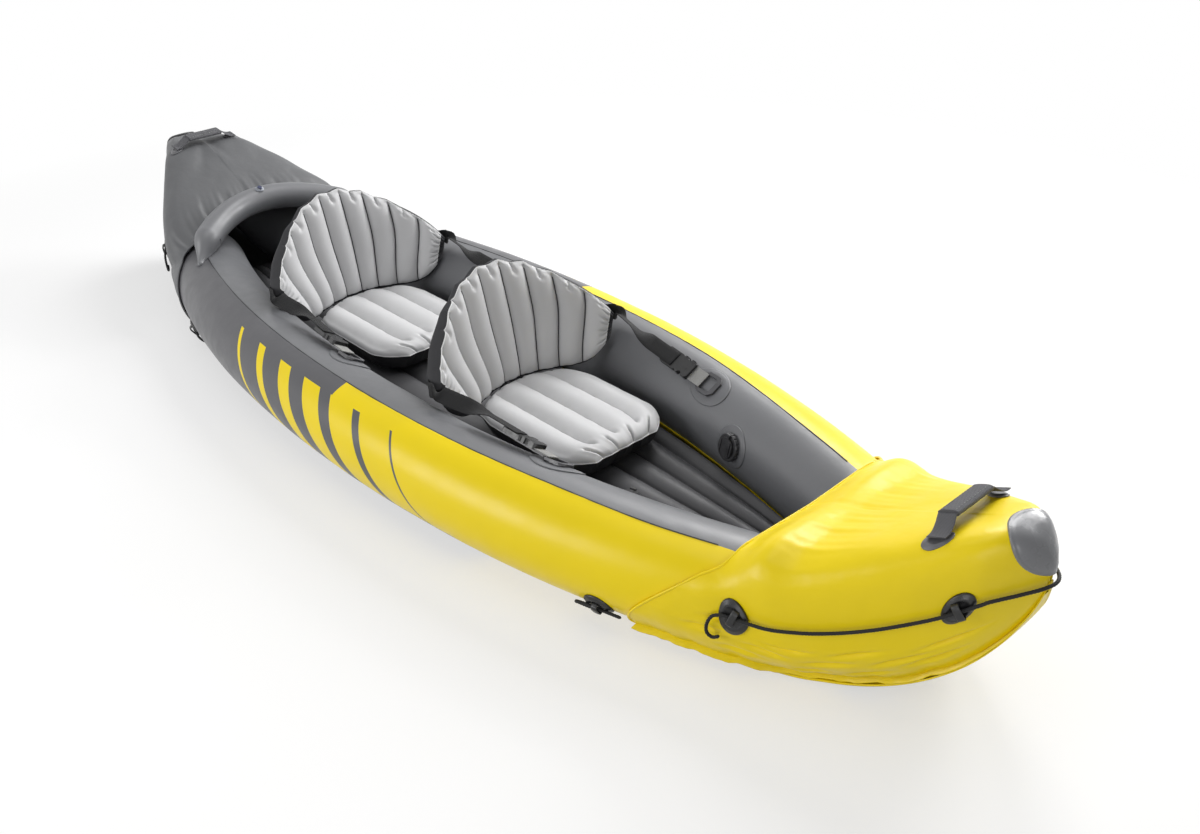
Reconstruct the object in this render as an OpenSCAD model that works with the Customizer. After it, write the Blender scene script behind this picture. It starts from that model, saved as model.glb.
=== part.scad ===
// Two-person inflatable kayak: side tubes, covers, I-beam floor and two inflatable seats.
// Frame: +X to the bow, +Y to port, +Z up, origin on the ground under the middle of the hull.

/* [Hull] */
// Overall length from nose to nose
hull_length = 3120; // [3000:10:3300]
// Overall width over the side tubes
hull_width = 910; // [880:5:960]
// Diameter of a side tube amidships
tube_d = 230; // [216:2:236]
// Power of the plan outline: higher is fuller towards the ends
plan_power = 2.1; // [2:0.05:2.3]
// Fullness of the plan outline: lower is fuller
plan_fullness = 0.79; // [0.75:0.01:0.85]
// Share by which the stern is narrower than the bow near its nose
stern_narrowing = 0.26; // [0.1:0.02:0.3]
// Thickness of the bottom sheet
bottom_t = 4; // [3:0.5:5]
// Clearance between pieces that rest on each other
rest_gap = 0.4; // [0.3:0.1:0.6]

/* [Covers] */
// Length of each cover along the middle, from its edge to the nose
cover_l = 480; // [440:5:520]
// How far the cover's side lobe reaches past that edge
lobe_l = 165; // [140:5:190]
// Thickness of the cover vinyl
cover_t = 3; // [2:0.5:4]
// Height of the bow cover at its cockpit edge
bow_edge_h = 246; // [240:1:260]
// Height of the stern cover behind the arch tube
stern_edge_h = 330; // [320:1:340]
// Highest point of the bow cover
bow_crest_h = 424; // [410:1:430]
// Highest point of the stern cover
stern_crest_h = 420; // [410:1:430]
// Rise of the bow cover from its edge, in degrees
bow_rise = 24.5; // [22:0.5:25]
// Rise of the stern cover from its edge, in degrees
stern_rise = 23; // [20:0.5:25]
// Height of the nose tip
nose_h = 340; // [320:1:360]
// Height of the rolled ridge along the bow cover's edge
ridge_h = 34; // [20:1:36]
// Width of the weld flange along the cover's lower edge
flange_w = 15; // [8:1:18]

/* [Arch] */
// Diameter of the arch tube under the stern cover's edge
arch_d = 76; // [68:2:80]
// Distance of the arch from the stern nose, along the middle
arch_from_nose = 540; // [530:5:560]
// Rise of the arch from its feet to its middle
arch_rise = 38; // [30:1:46]
// Half of the span between the arch's feet
arch_half_span = 215; // [205:1:220]

/* [Floor] */
// Height of the I-beam floor over its crowns
floor_h = 84; // [70:1:90]
// Number of lengthwise floor channels
floor_channels = 6; // [5:1:7]
// Depth of the grooves between the floor channels
floor_groove = 20; // [10:1:26]
// Length of the floor insert
floor_l = 2240; // [2100:10:2280]

/* [Seats] */
// Distance of the front seat's hinge line from midships
front_seat_x = 172; // [150:1:190]
// Distance between the two seats
seat_pitch = 706; // [690:1:720]
// Length of a seat cushion
cushion_l = 400; // [370:5:420]
// Width of a seat cushion
cushion_w = 312; // [290:2:330]
// Height of the cushion's seam above the floor crowns
cushion_seam_h = 56; // [40:1:60]
// Crown of the cushion above its seam
cushion_crown = 26; // [16:1:32]
// Number of cushion channels
cushion_channels = 4; // [3:1:5]
// Height of a backrest along its middle
back_h = 296; // [270:1:310]
// Width of a backrest where it is widest
back_w = 566; // [540:2:580]
// Width of a backrest at its foot
back_foot_w = 392; // [360:2:400]
// Lean of a backrest from upright, in degrees
back_lean = 13; // [8:1:20]
// Bulge of the backrest's front channels
back_bulge = 26; // [18:1:30]
// Bulge of the backrest's rear skin
back_rear_bulge = 16; // [10:1:20]
// Number of backrest channels
back_channels = 9; // [7:1:11]
// Diameter of the rolled hinge seam between cushion and backrest
hinge_d = 12; // [8:1:14]

/* [Straps] */
// Distance of a seat anchor ahead of the seat's hinge line
anchor_x = 442; // [420:1:460]
// Turn of the anchors inward from the top of the tube, in degrees
anchor_turn = 33; // [28:1:38]
// Width of the seat webbing
web_w = 38; // [30:1:40]
// Thickness of the webbing
web_t = 2.4; // [1.6:0.2:3]
// Travel of a buckle tongue out of its socket
tongue_travel = 40; // [32:1:44]

/* [Fittings] */
// Diameter of a rope holder
holder_d = 72; // [60:1:80]
// Diameter of the grab line
rope_d = 7; // [6:0.5:8]
// Diameter of a tube valve's weld flange
valve_flange_d = 96; // [86:1:104]
// Diameter of a tube valve's screw ring
valve_d = 64; // [56:1:68]
// Diameter of a small pinch valve
pinch_d = 26; // [22:1:30]
// Distance of the bow carry handle from the nose
bow_handle_from_nose = 155; // [145:1:165]
// Distance of the stern carry handle from the nose
stern_handle_from_nose = 225; // [215:1:235]
// Length of the handle grip
grip_l = 104; // [90:1:112]

/* [Hidden] */
$fn = 48;
half_l = hull_length / 2;
half_w = hull_width / 2;
tube_r = tube_d / 2;
tube_z = bottom_t + rest_gap + tube_r;
cover_x = half_l - cover_l;
cover_gap = 2.2;
weld_gap = 1.6;
cover_r = tube_r + cover_gap + cover_t;
plan_over = 20;
pinch_from = half_l - 460;
nose_l = 90;
bow_nose_run = 120;
stern_nose_run = 190;
edge_roll = 30;
ridge_back = 60;
ridge_l = 45;
bow_crown_lead = 80;
stern_crown_lead = 180;
blend_l = 200;
floor_end_gap = 10;
rise_l = 430;
rise_x = max(half_l - rise_l, floor_l / 2 + floor_end_gap);
rise_power = 2.4;
rise_fullness = 0.55;
tube_stop = half_l - 130;
tube_tip = 45;
tube_taper = 0.66;
tube_inset = 8;
section_power = 2.7;
bow_crown_power = 4.2;
stern_crown_power = 4.6;
side_share = 0.42;
flange_turn = 50;
arc_share = 0.62;
shoulder_turn = 50;
arch_r = arch_d / 2;
arch_z = tube_z + tube_r + arch_r - 2.6;
arch_sweep = 86;
stern_lobe_l = 80;
YELLOW = "#f4d90f";
GREY = "#6a6a6c";
DARK = "#3c3c3e";
LIGHT = "#b9b9ba";
BLACK = "#202022";
SILVER = "#9a9a98";

// Small helpers
function clamp(v, lo = 0, hi = 1) = min(max(v, lo), hi);
function smooth(a, b, v) = let (t = clamp((v - a) / (b - a))) t * t * (3 - 2 * t);
function mix(a, b, t) = a + (b - a) * t;
function unit(v) = v / norm(v);

// Plan and profile of the hull, for x measured from midships
function stern_pinch(x) = 1 - stern_narrowing * smooth(pinch_from, half_l - 80, -x);
function plan_y(x) =
    half_w * stern_pinch(x)
    * pow(1 - pow(min(abs(x), half_l) / (half_l + plan_over), plan_power), plan_fullness);
function end_y(bow, x) = plan_y(bow ? x : -x) + cover_gap + cover_t;
function nose_round(x) = let (v = clamp((abs(x) - half_l + nose_l) / nose_l)) sqrt(max(0, 1 - pow(v, 2.5)));
function bottom_z(x) =
    let (t = clamp((abs(x) - rise_x) / (half_l - rise_x)))
    nose_h * (1 - pow(max(0, 1 - pow(t, rise_power)), rise_fullness));
function edge_h(bow) = bow ? bow_edge_h : stern_edge_h;
function crown_power(bow) = bow ? bow_crown_power : stern_crown_power;
function top_z(bow, x) =
    let (
        run = bow ? bow_nose_run : stern_nose_run,
        line = edge_h(bow) + tan(bow ? bow_rise : stern_rise) * (abs(x) - cover_x - edge_roll),
        crest = min(line, bow ? bow_crest_h : stern_crest_h),
        v = clamp((abs(x) - half_l + run) / run)
    )
    nose_h + (crest - nose_h) * sqrt(max(0, 1 - pow(v, 2.5)));
function side_z(bow, x) =
    mix(tube_z, mix(bottom_z(x), top_z(bow, x), side_share), smooth(cover_x, cover_x + blend_l, abs(x)));

// Side tube: radius, centre line and surface point at turn a, from 0 outboard over 90 on top to 180 inboard
function tube_shrink(x) = smooth(cover_x - 40, tube_stop + 30, abs(x));
function tube_tip_round(x) =
    let (v = clamp((abs(x) - tube_stop + tube_tip) / tube_tip))
    sqrt(max(0.0001, 1 - v * v));
function tube_full_r(x) = tube_r * (1 - tube_taper * tube_shrink(x));
function tube_y(x) = plan_y(x) - tube_full_r(x) - tube_inset * tube_shrink(x);
function tube_c(x) = mix(tube_z, side_z(true, x), smooth(cover_x, cover_x + blend_l, abs(x)));
function tube_point(side, x, a, off = 0) =
    let (r = tube_full_r(x) * tube_tip_round(x) + off)
    [x, side * (tube_y(x) + r * cos(a)), tube_c(x) + r * sin(a)];
function tube_way(side, x, a) = unit(tube_point(side, x + 5, a) - tube_point(side, x - 5, a));
function tube_normal(side, x, a) =
    let (n = [0, side * cos(a), sin(a)], t = tube_way(side, x, a))
    unit(n - (n * t) * t);

// Cover: the edge's place along X and the skin's surface, s from 0 at the flange to 1 at the top, then to 2
function edge_turn(s) = -flange_turn + (90 + flange_turn) * min(s / arc_share, 1);
function lobe_reach(s) = lobe_l * smooth(75, -40, edge_turn(s));
function arch_x(y) = half_l - arch_from_nose - arch_sweep * pow(y / arch_half_span, 2);
function chord_share(s) = clamp((s - arc_share) / (1 - arc_share));
function stern_edge_y(s) = (plan_y(cover_x - 80) - tube_r) * (1 - chord_share(s));
function stern_edge_x(s) =
    arch_x(min(stern_edge_y(s), arch_half_span)) + arch_r + 2
    - stern_lobe_l * smooth(70, -40, edge_turn(s));
function edge_x(bow, s) = bow ? cover_x - lobe_reach(s) : stern_edge_x(s);
function ridge(bow, x, s) =
    bow
        ? ridge_h * exp(-pow((x - edge_x(bow, s) - ridge_back) / ridge_l, 2))
            * smooth(10, 90, edge_turn(s)) * mix(1, 0.35, chord_share(s))
        : 0;
function lobe_section(w, r, top, s) =
    let (a = edge_turn(s), t = chord_share(s), crown = top - tube_z - r)
    s < arc_share
        ? [w - r + r * cos(a), tube_z + r * sin(a)]
        : [(w - r) * (1 - t), tube_z + r + crown * (1 - (1 - t) * (1 - t))];
function round_section(w, low, side, top, crown, s) =
    let (
        t = chord_share(s),
        p = s < arc_share
            ? -flange_turn + (shoulder_turn + flange_turn) * s / arc_share
            : mix(shoulder_turn, 90, t),
        e = p < 0 ? section_power : crown,
        reach = pow(pow(cos(p), e) + pow(abs(sin(p)), e), 1 / e)
    )
    [w * cos(p) / reach, side + (p < 0 ? side - low : top - side) * sin(p) / reach];
function cover_half(bow, x, s, inset) =
    let (
        swell = ridge(bow, x, s) - inset,
        w = (end_y(bow, x) - inset) * nose_round(x),
        top = top_z(bow, x) + swell * nose_round(x),
        side = side_z(bow, x),
        low = bottom_z(x) + inset,
        early = (bow ? bow_crown_lead : stern_crown_lead) * smooth(-10, 60, edge_turn(s)),
        start = cover_x + edge_roll,
        m = smooth(start, start + 160, x + early)
    )
    mix(
        lobe_section(w + ridge(bow, x, s), cover_r + swell, top, s),
        round_section(w, low, side, top, crown_power(bow), s),
        m
    );
function cover_point(bow, x, s, inset = 0) =
    let (p = cover_half(bow, x, s > 1 ? 2 - s : s, inset))
    [x, s > 1 ? -p[0] : p[0], p[1]];
function cover_normal(bow, x, s) =
    let (
        dx = cover_point(bow, x + 2, s) - cover_point(bow, x - 2, s),
        ds = cover_point(bow, x, s + 0.01) - cover_point(bow, x, s - 0.01)
    )
    unit(cross(ds, dx));
function s_rate(bow, x, s) = norm(cover_point(bow, x, s + 0.01) - cover_point(bow, x, s - 0.01)) / 0.02;
function cover_skin(bow, x, s, off) = cover_point(bow, x, s) + off * cover_normal(bow, x, s);

// Faces between two point grids of the same size, walls along their rims included
function grid_faces(n, m, base, flip) = [
    for (i = [0 : n - 2], j = [0 : m - 2], k = [0, 1])
        let (
            a = base + i * m + j,
            b = a + 1,
            c = a + m,
            d = c + 1,
            f = k == 0 ? [a, b, d] : [a, d, c]
        )
        flip ? [f[2], f[1], f[0]] : f
];
function rim(n, m) = concat(
    [for (j = [0 : m - 1]) j],
    [for (i = [1 : n - 1]) i * m + m - 1],
    [for (j = [m - 2 : -1 : 0]) (n - 1) * m + j],
    [for (i = [n - 2 : -1 : 1]) i * m]
);
function wall_faces(loop, shift) = [
    for (k = [0 : len(loop) - 1], h = [0, 1])
        let (a = loop[k], b = loop[(k + 1) % len(loop)])
        h == 0 ? [a, a + shift, b] : [b, a + shift, b + shift]
];
function flat(grid) = [for (row = grid, p = row) p];
module sheet(outer, inner) {
    n = len(outer);
    m = len(outer[0]);
    polyhedron(
        concat(flat(outer), flat(inner)),
        concat(grid_faces(n, m, 0, false), grid_faces(n, m, n * m, true), wall_faces(rim(n, m), n * m)),
        convexity = 10
    );
}

// Closed tube through rings of points, its ends closed by fans
module loft(rings) {
    n = len(rings);
    m = len(rings[0]);
    hubs = [for (r = [rings[0], rings[n - 1]]) [for (p = r) 1] * r / m];
    points = concat(flat(rings), hubs);
    sides = [
        for (i = [0 : n - 2], j = [0 : m - 1], k = [0, 1])
            let (a = i * m + j, b = i * m + (j + 1) % m, c = a + m, d = b + m)
            k == 0 ? [a, d, b] : [a, c, d]
    ];
    ends = [
        for (j = [0 : m - 1], k = [0, 1])
            let (a = k * (n - 1) * m + j, b = k * (n - 1) * m + (j + 1) % m)
            k == 0 ? [n * m, a, b] : [n * m + 1, b, a]
    ];
    polyhedron(points, concat(sides, ends), convexity = 10);
}

// Round tube along a list of points
function turn_frame(u, d) = unit(u - (u * d) * d);
function path_dir(p, i) = unit(p[min(i + 1, len(p) - 1)] - p[max(i - 1, 0)]);
function path_ups(p, i, up) =
    i >= len(p) ? [] : let (u = turn_frame(up, path_dir(p, i))) concat([u], path_ups(p, i + 1, u));
function cord_rings(p, d, sides) =
    let (ups = path_ups(p, 0, abs(path_dir(p, 0)[2]) > 0.9 ? [1, 0, 0] : [0, 0, 1]))
    [
        for (i = [0 : len(p) - 1])
            let (u = ups[i], v = cross(path_dir(p, i), u))
            [for (j = [0 : sides - 1]) let (a = 360 * j / sides) p[i] + d / 2 * (u * cos(a) + v * sin(a))]
    ];
function spline_at(a, b, c, d, t) =
    0.5 * (2 * b + (c - a) * t + (2 * a - 5 * b + 4 * c - d) * t * t + (3 * b - a - 3 * c + d) * t * t * t);
function spline(p, steps) = concat(
    [
        for (i = [0 : len(p) - 2], k = [0 : steps - 1])
            spline_at(p[max(i - 1, 0)], p[i], p[i + 1], p[min(i + 2, len(p) - 1)], k / steps)
    ],
    [p[len(p) - 1]]
);
module cord(points, d, steps) {
    loft(cord_rings(spline(points, steps), d, 8));
}

// Oval plate that follows a curved surface; skin(u, v, off) gives the surface's points
module oval_plate(skin, half_u, half_v, low, high, sides = 24) {
    shares = [0, 0.55, 1];
    function layer(off) = [
        for (f = shares, j = [0 : sides - 1])
            if (f > 0 || j == 0)
                let (a = 360 * j / sides) skin(half_u * f * cos(a), half_v * f * sin(a), off)
    ];
    count = 1 + 2 * sides;
    function fan(base, flip) = [
        for (j = [0 : sides - 1])
            let (a = base + 1 + j, b = base + 1 + (j + 1) % sides)
            flip ? [base, b, a] : [base, a, b]
    ];
    function band(base, flip) = [
        for (j = [0 : sides - 1], k = [0, 1])
            let (
                a = base + 1 + j,
                b = base + 1 + (j + 1) % sides,
                c = a + sides,
                d = b + sides,
                f = k == 0 ? [a, c, d] : [a, d, b]
            )
            flip ? [f[2], f[1], f[0]] : f
    ];
    loop = [for (j = [0 : sides - 1]) 1 + sides + j];
    wall = [
        for (k = [0 : sides - 1], h = [0, 1])
            let (a = loop[k], b = loop[(k + 1) % sides])
            h == 0 ? [a, a + count, b] : [b, a + count, b + count]
    ];
    polyhedron(
        concat(layer(high), layer(low)),
        concat(fan(0, false), band(0, false), fan(count, true), band(count, true), wall),
        convexity = 4
    );
}

// Frame at point o with its x along d and its z near n
module at_frame(o, d, n) {
    x = unit(d);
    z = unit(n - (n * x) * x);
    y = cross(z, x);
    multmatrix([
        [x[0], y[0], z[0], o[0]],
        [x[1], y[1], z[1], o[1]],
        [x[2], y[2], z[2], o[2]],
        [0, 0, 0, 1]
    ])
        children();
}
module slab(l, w, low, high) {
    translate([l[0], -w / 2, low]) cube([l[1] - l[0], w, high - low]);
}
module chamfered(l, w, c) {
    x = l / 2;
    y = w / 2;
    polygon([
        [x, y - c], [x - c, y], [c - x, y], [-x, y - c],
        [-x, c - y], [c - x, -y], [x - c, -y], [x, c - y]
    ]);
}
module ends(bow) {
    if (bow) children();
    else mirror([1, 0, 0]) children();
}
module both_sides() {
    children();
    mirror([0, 1, 0]) children();
}

// Side tubes, bottom and floor
tube_half_stations = 13;
tube_sides = 18;
module side_tube(side) {
    n = tube_half_stations;
    xs = [for (i = [-n : n]) tube_stop * sin(90 * i / n)];
    turns = [for (j = [0 : tube_sides - 1]) 90 + side * 360 * j / tube_sides];
    loft([for (x = xs) [for (a = turns) tube_point(side, x, a)]]);
}
module port_side_tube() { color(GREY) side_tube(1); }
module starboard_side_tube() { color(GREY) side_tube(-1); }

bottom_stations = 16;
bottom_lap = 10;
module bottom_sheet() {
    xs = [for (i = [-bottom_stations : bottom_stations]) rise_x * i / bottom_stations];
    edge = [for (x = xs) [x, tube_y(x) + bottom_lap]];
    color(YELLOW) linear_extrude(bottom_t)
        polygon(concat(edge, [for (i = [len(edge) - 1 : -1 : 0]) [edge[i][0], -edge[i][1]]]));
}

// Bottom panel under each end, welded to the cover's flange
panel_rows = 8;
panel_columns = 8;
flange_drop = 4;
function panel_point(bow, x, v, up) =
    let (
        root = cover_point(bow, x, 0),
        reach = root[1] + flange_w * nose_round(x),
        edge = root[2] - (flange_drop + cover_t + weld_gap + bottom_t) * nose_round(x)
    )
    [x, v * reach, mix(bottom_z(x), max(edge, bottom_z(x)), pow(abs(v), 3)) + up * nose_round(x)];
module bottom_panel(bow) {
    first = rise_x + rest_gap;
    last = half_l - 4;
    xs = [for (i = [0 : panel_rows]) mix(first, last, sin(90 * i / panel_rows))];
    vs = [for (j = [-panel_columns : 2 : panel_columns]) j / panel_columns];
    ends(bow) sheet(
        [for (x = xs) [for (v = vs) panel_point(bow, x, v, bottom_t)]],
        [for (x = xs) [for (v = vs) panel_point(bow, x, v, 0)]]
    );
}
module bow_bottom_panel() { color(YELLOW) bottom_panel(true); }
module stern_bottom_panel() { color(GREY) bottom_panel(false); }
wear_share = 168 / 430;
wear_half_l = 62;
wear_t = 1.7;
module bow_wear_patch() {
    middle = mix(rise_x, half_l, wear_share);
    color(DARK) oval_plate(
        function(u, v, off) panel_point(true, middle + u, v, -off),
        wear_half_l, 0.9, weld_gap, weld_gap + wear_t, 16
    );
}

// I-beam floor with rounded lengthwise channels between the tubes
floor_rows = 8;
channel_steps = 4;
floor_edge_z = 46;
function floor_reach(x) = tube_y(x) - sqrt(tube_r * tube_r - pow(tube_z - floor_edge_z, 2)) - 8;
function floor_round(x) = let (v = clamp((abs(x) - floor_l / 2 + 90) / 90)) sqrt(max(0, 1 - v * v));
function floor_point(x, v) =
    let (
        crown = abs(sin(90 * floor_channels * (v + 1))),
        low = floor_h - floor_groove,
        side = smooth(1, 0.82, abs(v)),
        z = mix(floor_edge_z, mix(low, floor_h, sqrt(crown)), side)
    )
    [x, v * floor_reach(x) * mix(0.7, 1, floor_round(x)), mix(floor_edge_z, z, floor_round(x))];
function floor_under(x, v) =
    let (p = floor_point(x, v))
    [p[0], p[1] * 0.86, bottom_t + rest_gap];
module floor_insert() {
    xs = [for (i = [-floor_rows : 2 : floor_rows]) floor_l / 2 * sin(90 * i / floor_rows)];
    count = floor_channels * channel_steps;
    vs = [for (j = [0 : count]) 2 * j / count - 1];
    color(DARK) sheet(
        [for (x = xs) [for (v = vs) floor_point(x, v)]],
        [for (x = xs) [for (v = vs) floor_under(x, v)]]
    );
}

// Weld strips where the bottom sheet laps up the inner side of each tube
strip_rows = 5;
strip_t = 2;
strip_turns = [205, 212, 219];
strip_aft = 1260;
strip_fore = 560;
module inner_weld_strips() {
    xs = [for (i = [0 : strip_rows]) half_l - mix(strip_aft, strip_fore, i / strip_rows)];
    color(YELLOW) both_sides() sheet(
        [for (x = xs) [for (a = strip_turns) tube_point(1, x, a, weld_gap)]],
        [for (x = xs) [for (a = strip_turns) tube_point(1, x, a, weld_gap + strip_t)]]
    );
}

// Covers over the ends
cover_rows = 13;
cover_columns = 12;
cover_end = half_l - 0.5;
function cover_grid_x(bow, s, i) =
    mix(edge_x(bow, s > 1 ? 2 - s : s), cover_end, (1 - cos(180 * i / cover_rows)) / 2);
function inner_x(x, inset) = x - inset * (1 - nose_round(x));
function cover_cell(bow, i, s, inset) =
    let (x = cover_grid_x(bow, s, i), p = cover_point(bow, x, s, inset))
    [inner_x(x, inset), p[1], p[2]];
function cover_root(bow, i, hand, under) =
    let (x = cover_grid_x(bow, 0, i), p = cover_point(bow, x, 0), n = nose_round(x))
    [x, hand * (p[1] - under * 0.8 * n), p[2] - under * n];
function cover_fin(bow, i, hand, under) =
    let (x = cover_grid_x(bow, 0, i), p = cover_point(bow, x, 0), n = nose_round(x))
    [x, hand * (p[1] + flange_w * n), p[2] - (flange_drop + under) * n];
function cover_row(bow, i, inset) = concat(
    [cover_fin(bow, i, -1, inset), cover_root(bow, i, -1, inset)],
    [for (k = [2 * cover_columns - 1 : -1 : 1]) cover_cell(bow, i, k / cover_columns, inset)],
    [cover_root(bow, i, 1, inset), cover_fin(bow, i, 1, inset)]
);
module cover(bow) {
    ends(bow) sheet(
        [for (i = [0 : cover_rows]) cover_row(bow, i, 0)],
        [for (i = [0 : cover_rows]) cover_row(bow, i, cover_t)]
    );
}
module bow_cover() { color(YELLOW) cover(true); }
module stern_cover() { color(GREY) cover(false); }

// Inflated arch under the stern cover's edge, resting on both side tubes
arch_steps = 16;
arch_sides = 14;
function arch_point(y) = [-arch_x(y), y, arch_z + arch_rise * (1 - pow(y / arch_half_span, 2))];
module stern_arch_tube() {
    path = [for (i = [-arch_steps : 2 : arch_steps]) arch_point(arch_half_span * sin(90 * i / arch_steps))];
    last = len(path) - 1;
    tips = [
        path[0] - 0.8 * arch_r * path_dir(path, 0),
        path[last] + 0.8 * arch_r * path_dir(path, last)
    ];
    tip_d = 0.5 * arch_d;
    body = cord_rings(path, arch_d, arch_sides);
    caps = cord_rings(concat([tips[0]], path, [tips[1]]), tip_d, arch_sides);
    color(GREY) loft(concat([caps[0]], body, [caps[len(caps) - 1]]));
}

// Nose patches: a disc seen from inside the nose, laid on its skin
nose_eye = [half_l - 110, 0, nose_h];
nose_axis = unit([0.82, 0, 0.58]);
nose_up = unit([-0.58, 0, 0.82]);
nose_spread = 0.6;
nose_lift = 4;
function nose_gap(bow, p) =
    let (
        x = min(p[0], half_l - 0.01),
        w = end_y(bow, x) * nose_round(x),
        side = side_z(bow, x),
        above = p[2] > side,
        h = above ? top_z(bow, x) - side : side - bottom_z(x),
        e = above ? crown_power(bow) : section_power
    )
    p[0] >= half_l ? 1 : pow(abs(p[1]) / w, e) + pow(abs(p[2] - side) / h, e) - 1;
function nose_hit(bow, d, lo, hi, k) =
    let (mid = (lo + hi) / 2)
    k == 0 ? mid
        : nose_gap(bow, nose_eye + mid * d) < 0 ? nose_hit(bow, d, mid, hi, k - 1)
        : nose_hit(bow, d, lo, mid, k - 1);
function nose_skin(bow, u, v, off) =
    let (d = unit(nose_axis + u * nose_up + v * [0, 1, 0]))
    nose_eye + (nose_hit(bow, d, 0, 300, 24) + off) * d;
module nose_patch(bow) {
    ends(bow) oval_plate(
        function(u, v, off) nose_skin(bow, u, v, off),
        nose_spread, nose_spread, nose_lift, nose_lift + 2.2, 20
    );
}
module bow_nose_patch() { color(GREY) nose_patch(true); }
module stern_nose_patch() { color(DARK) nose_patch(false); }

// Carry handles: welded end tabs, webbing bridge and wrapped grip, square to the cover's slope
function handle_x(bow) = half_l - (bow ? bow_handle_from_nose : stern_handle_from_nose);
function cover_slope(bow) =
    let (x = handle_x(bow), h = 20)
    atan((top_z(bow, x + h) - top_z(bow, x - h)) / (2 * h));
handle_tab_y = 76;
function handle_s(bow, lo = 0.63, hi = 0.99, k = 16) =
    let (mid = (lo + hi) / 2)
    k == 0 ? mid
        : cover_point(bow, handle_x(bow), mid)[1] > handle_tab_y ? handle_s(bow, mid, hi, k - 1)
        : handle_s(bow, lo, mid, k - 1);
handle_tab_d = 44;
handle_rise = 22;
grip_w = 42;
grip_t = 13;
module handle_frame(bow) {
    slope = cover_slope(bow);
    o = cover_point(bow, handle_x(bow), 1);
    ends(bow) at_frame(o, [cos(slope), 0, sin(slope)], [-sin(slope), 0, cos(slope)]) children();
}
module handle_anchors(bow) {
    x = handle_x(bow);
    s = handle_s(bow);
    half_s = handle_tab_d / 2 / s_rate(bow, x, s);
    ends(bow) both_sides()
        oval_plate(
            function(u, v, off) cover_skin(bow, x + u, s + v, off),
            handle_tab_d / 2, half_s, 0.5, 3, 16
        );
}
function leg_drop(bow) = bow ? 20.7 : 20;
leg_out = 16;
module handle_strap(bow) {
    h = web_t / 2;
    bend = [grip_l / 2 + 5, handle_rise + h];
    foot = bend + [leg_out, -leg_drop(bow)];
    turn = atan2(leg_drop(bow), leg_out);
    square_off = h * [sin(turn), cos(turn)];
    mitre = h / (1 + cos(turn)) * [sin(turn), 1 + cos(turn)];
    half = [foot - square_off, foot + square_off, bend + mitre];
    other_half = [for (i = [2 : -1 : 0]) [-half[i][0], half[i][1]]];
    under = bend - mitre;
    handle_frame(bow) translate([-web_w / 2, 0, 0]) rotate([90, 0, 90]) linear_extrude(web_w)
        polygon(concat(half, other_half, [[-under[0], under[1]], under]));
}
module handle_grip(bow) {
    r = grip_t / 2;
    slot = web_t + 2 * rest_gap;
    handle_frame(bow) translate([0, grip_l / 2, handle_rise + web_t / 2]) rotate([90, 0, 0])
        linear_extrude(grip_l) difference() {
            union() {
                square([grip_w - grip_t, grip_t], center = true);
                for (k = [-1, 1]) translate([k * (grip_w - grip_t) / 2, 0]) circle(r);
            }
            square([web_w + 2 * rest_gap, slot], center = true);
        }
}
module bow_handle_anchors() { color(DARK) handle_anchors(true); }
module bow_handle_strap() { color(DARK) handle_strap(true); }
module bow_handle_grip() { color(DARK) handle_grip(true); }
module stern_handle_anchors() { color(DARK) handle_anchors(false); }
module stern_handle_strap() { color(DARK) handle_strap(false); }
module stern_handle_grip() { color(DARK) handle_grip(false); }

// Rope holders: a curved disc with a bridge bar that the line passes under
tie_from_nose = 710;
tie_x = half_l - tie_from_nose;
tie_turn = -33;
tie_stud = -0.6;
// Place along X and around the cover, and the height of the stud's foot over the skin
function cover_holders(bow) =
    bow
        ? [[half_l - 430, 0.32, 0.5], [half_l - 95, 0.385, -0.2]]
        : [[half_l - 370, 0.36, -0.3], [half_l - 95, 0.385, 0.2]];
holder_t = 3;
holder_lift = 3;
disc_sides = 12;
bar_l = 34;
bar_w = 13;
bar_t = 3;
bar_h = 12;
stud_d = 8;
function cover_way(bow, x, s) = cover_point(bow, x + 3, s) - cover_point(bow, x - 3, s);
module bridge_bar() {
    foot = -2.2;
    difference() {
        translate([-bar_w / 2, -bar_l / 2, foot]) cube([bar_w, bar_l, bar_h - foot]);
        translate([-bar_w, -bar_l / 2 + bar_t, foot - 1])
            cube([2 * bar_w, bar_l - 2 * bar_t, bar_h - bar_t - foot + 1]);
    }
}
module bridge(seat, foot) {
    bridge_bar();
    translate([0, 0, foot - seat]) cylinder(d = stud_d, h = holder_lift + 1 - foot);
}
module rope_holders(bow) {
    low = holder_lift;
    high = low + holder_t;
    seat = high + rest_gap;
    r = holder_d / 2;
    turn_v = r / tube_r * 180 / PI;
    ends(bow) both_sides() {
        oval_plate(
            function(u, v, off) tube_point(1, tie_x + u, tie_turn + v, off),
            r, turn_v, low, high, disc_sides
        );
        at_frame(
            tube_point(1, tie_x, tie_turn, seat),
            tube_way(1, tie_x, tie_turn),
            tube_normal(1, tie_x, tie_turn)
        )
            bridge(seat, tie_stud);
        for (h = cover_holders(bow)) {
            x = h[0];
            s = h[1];
            oval_plate(
                function(u, v, off) cover_skin(bow, x + u, s + v, off),
                r, r / s_rate(bow, x, s), low, high, disc_sides
            );
            at_frame(cover_skin(bow, x, s, seat), cover_way(bow, x, s), cover_normal(bow, x, s))
                bridge(seat, h[2]);
        }
    }
}
module bow_rope_holders() { color(BLACK) rope_holders(true); }
module stern_rope_holders() { color(BLACK) rope_holders(false); }

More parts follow.
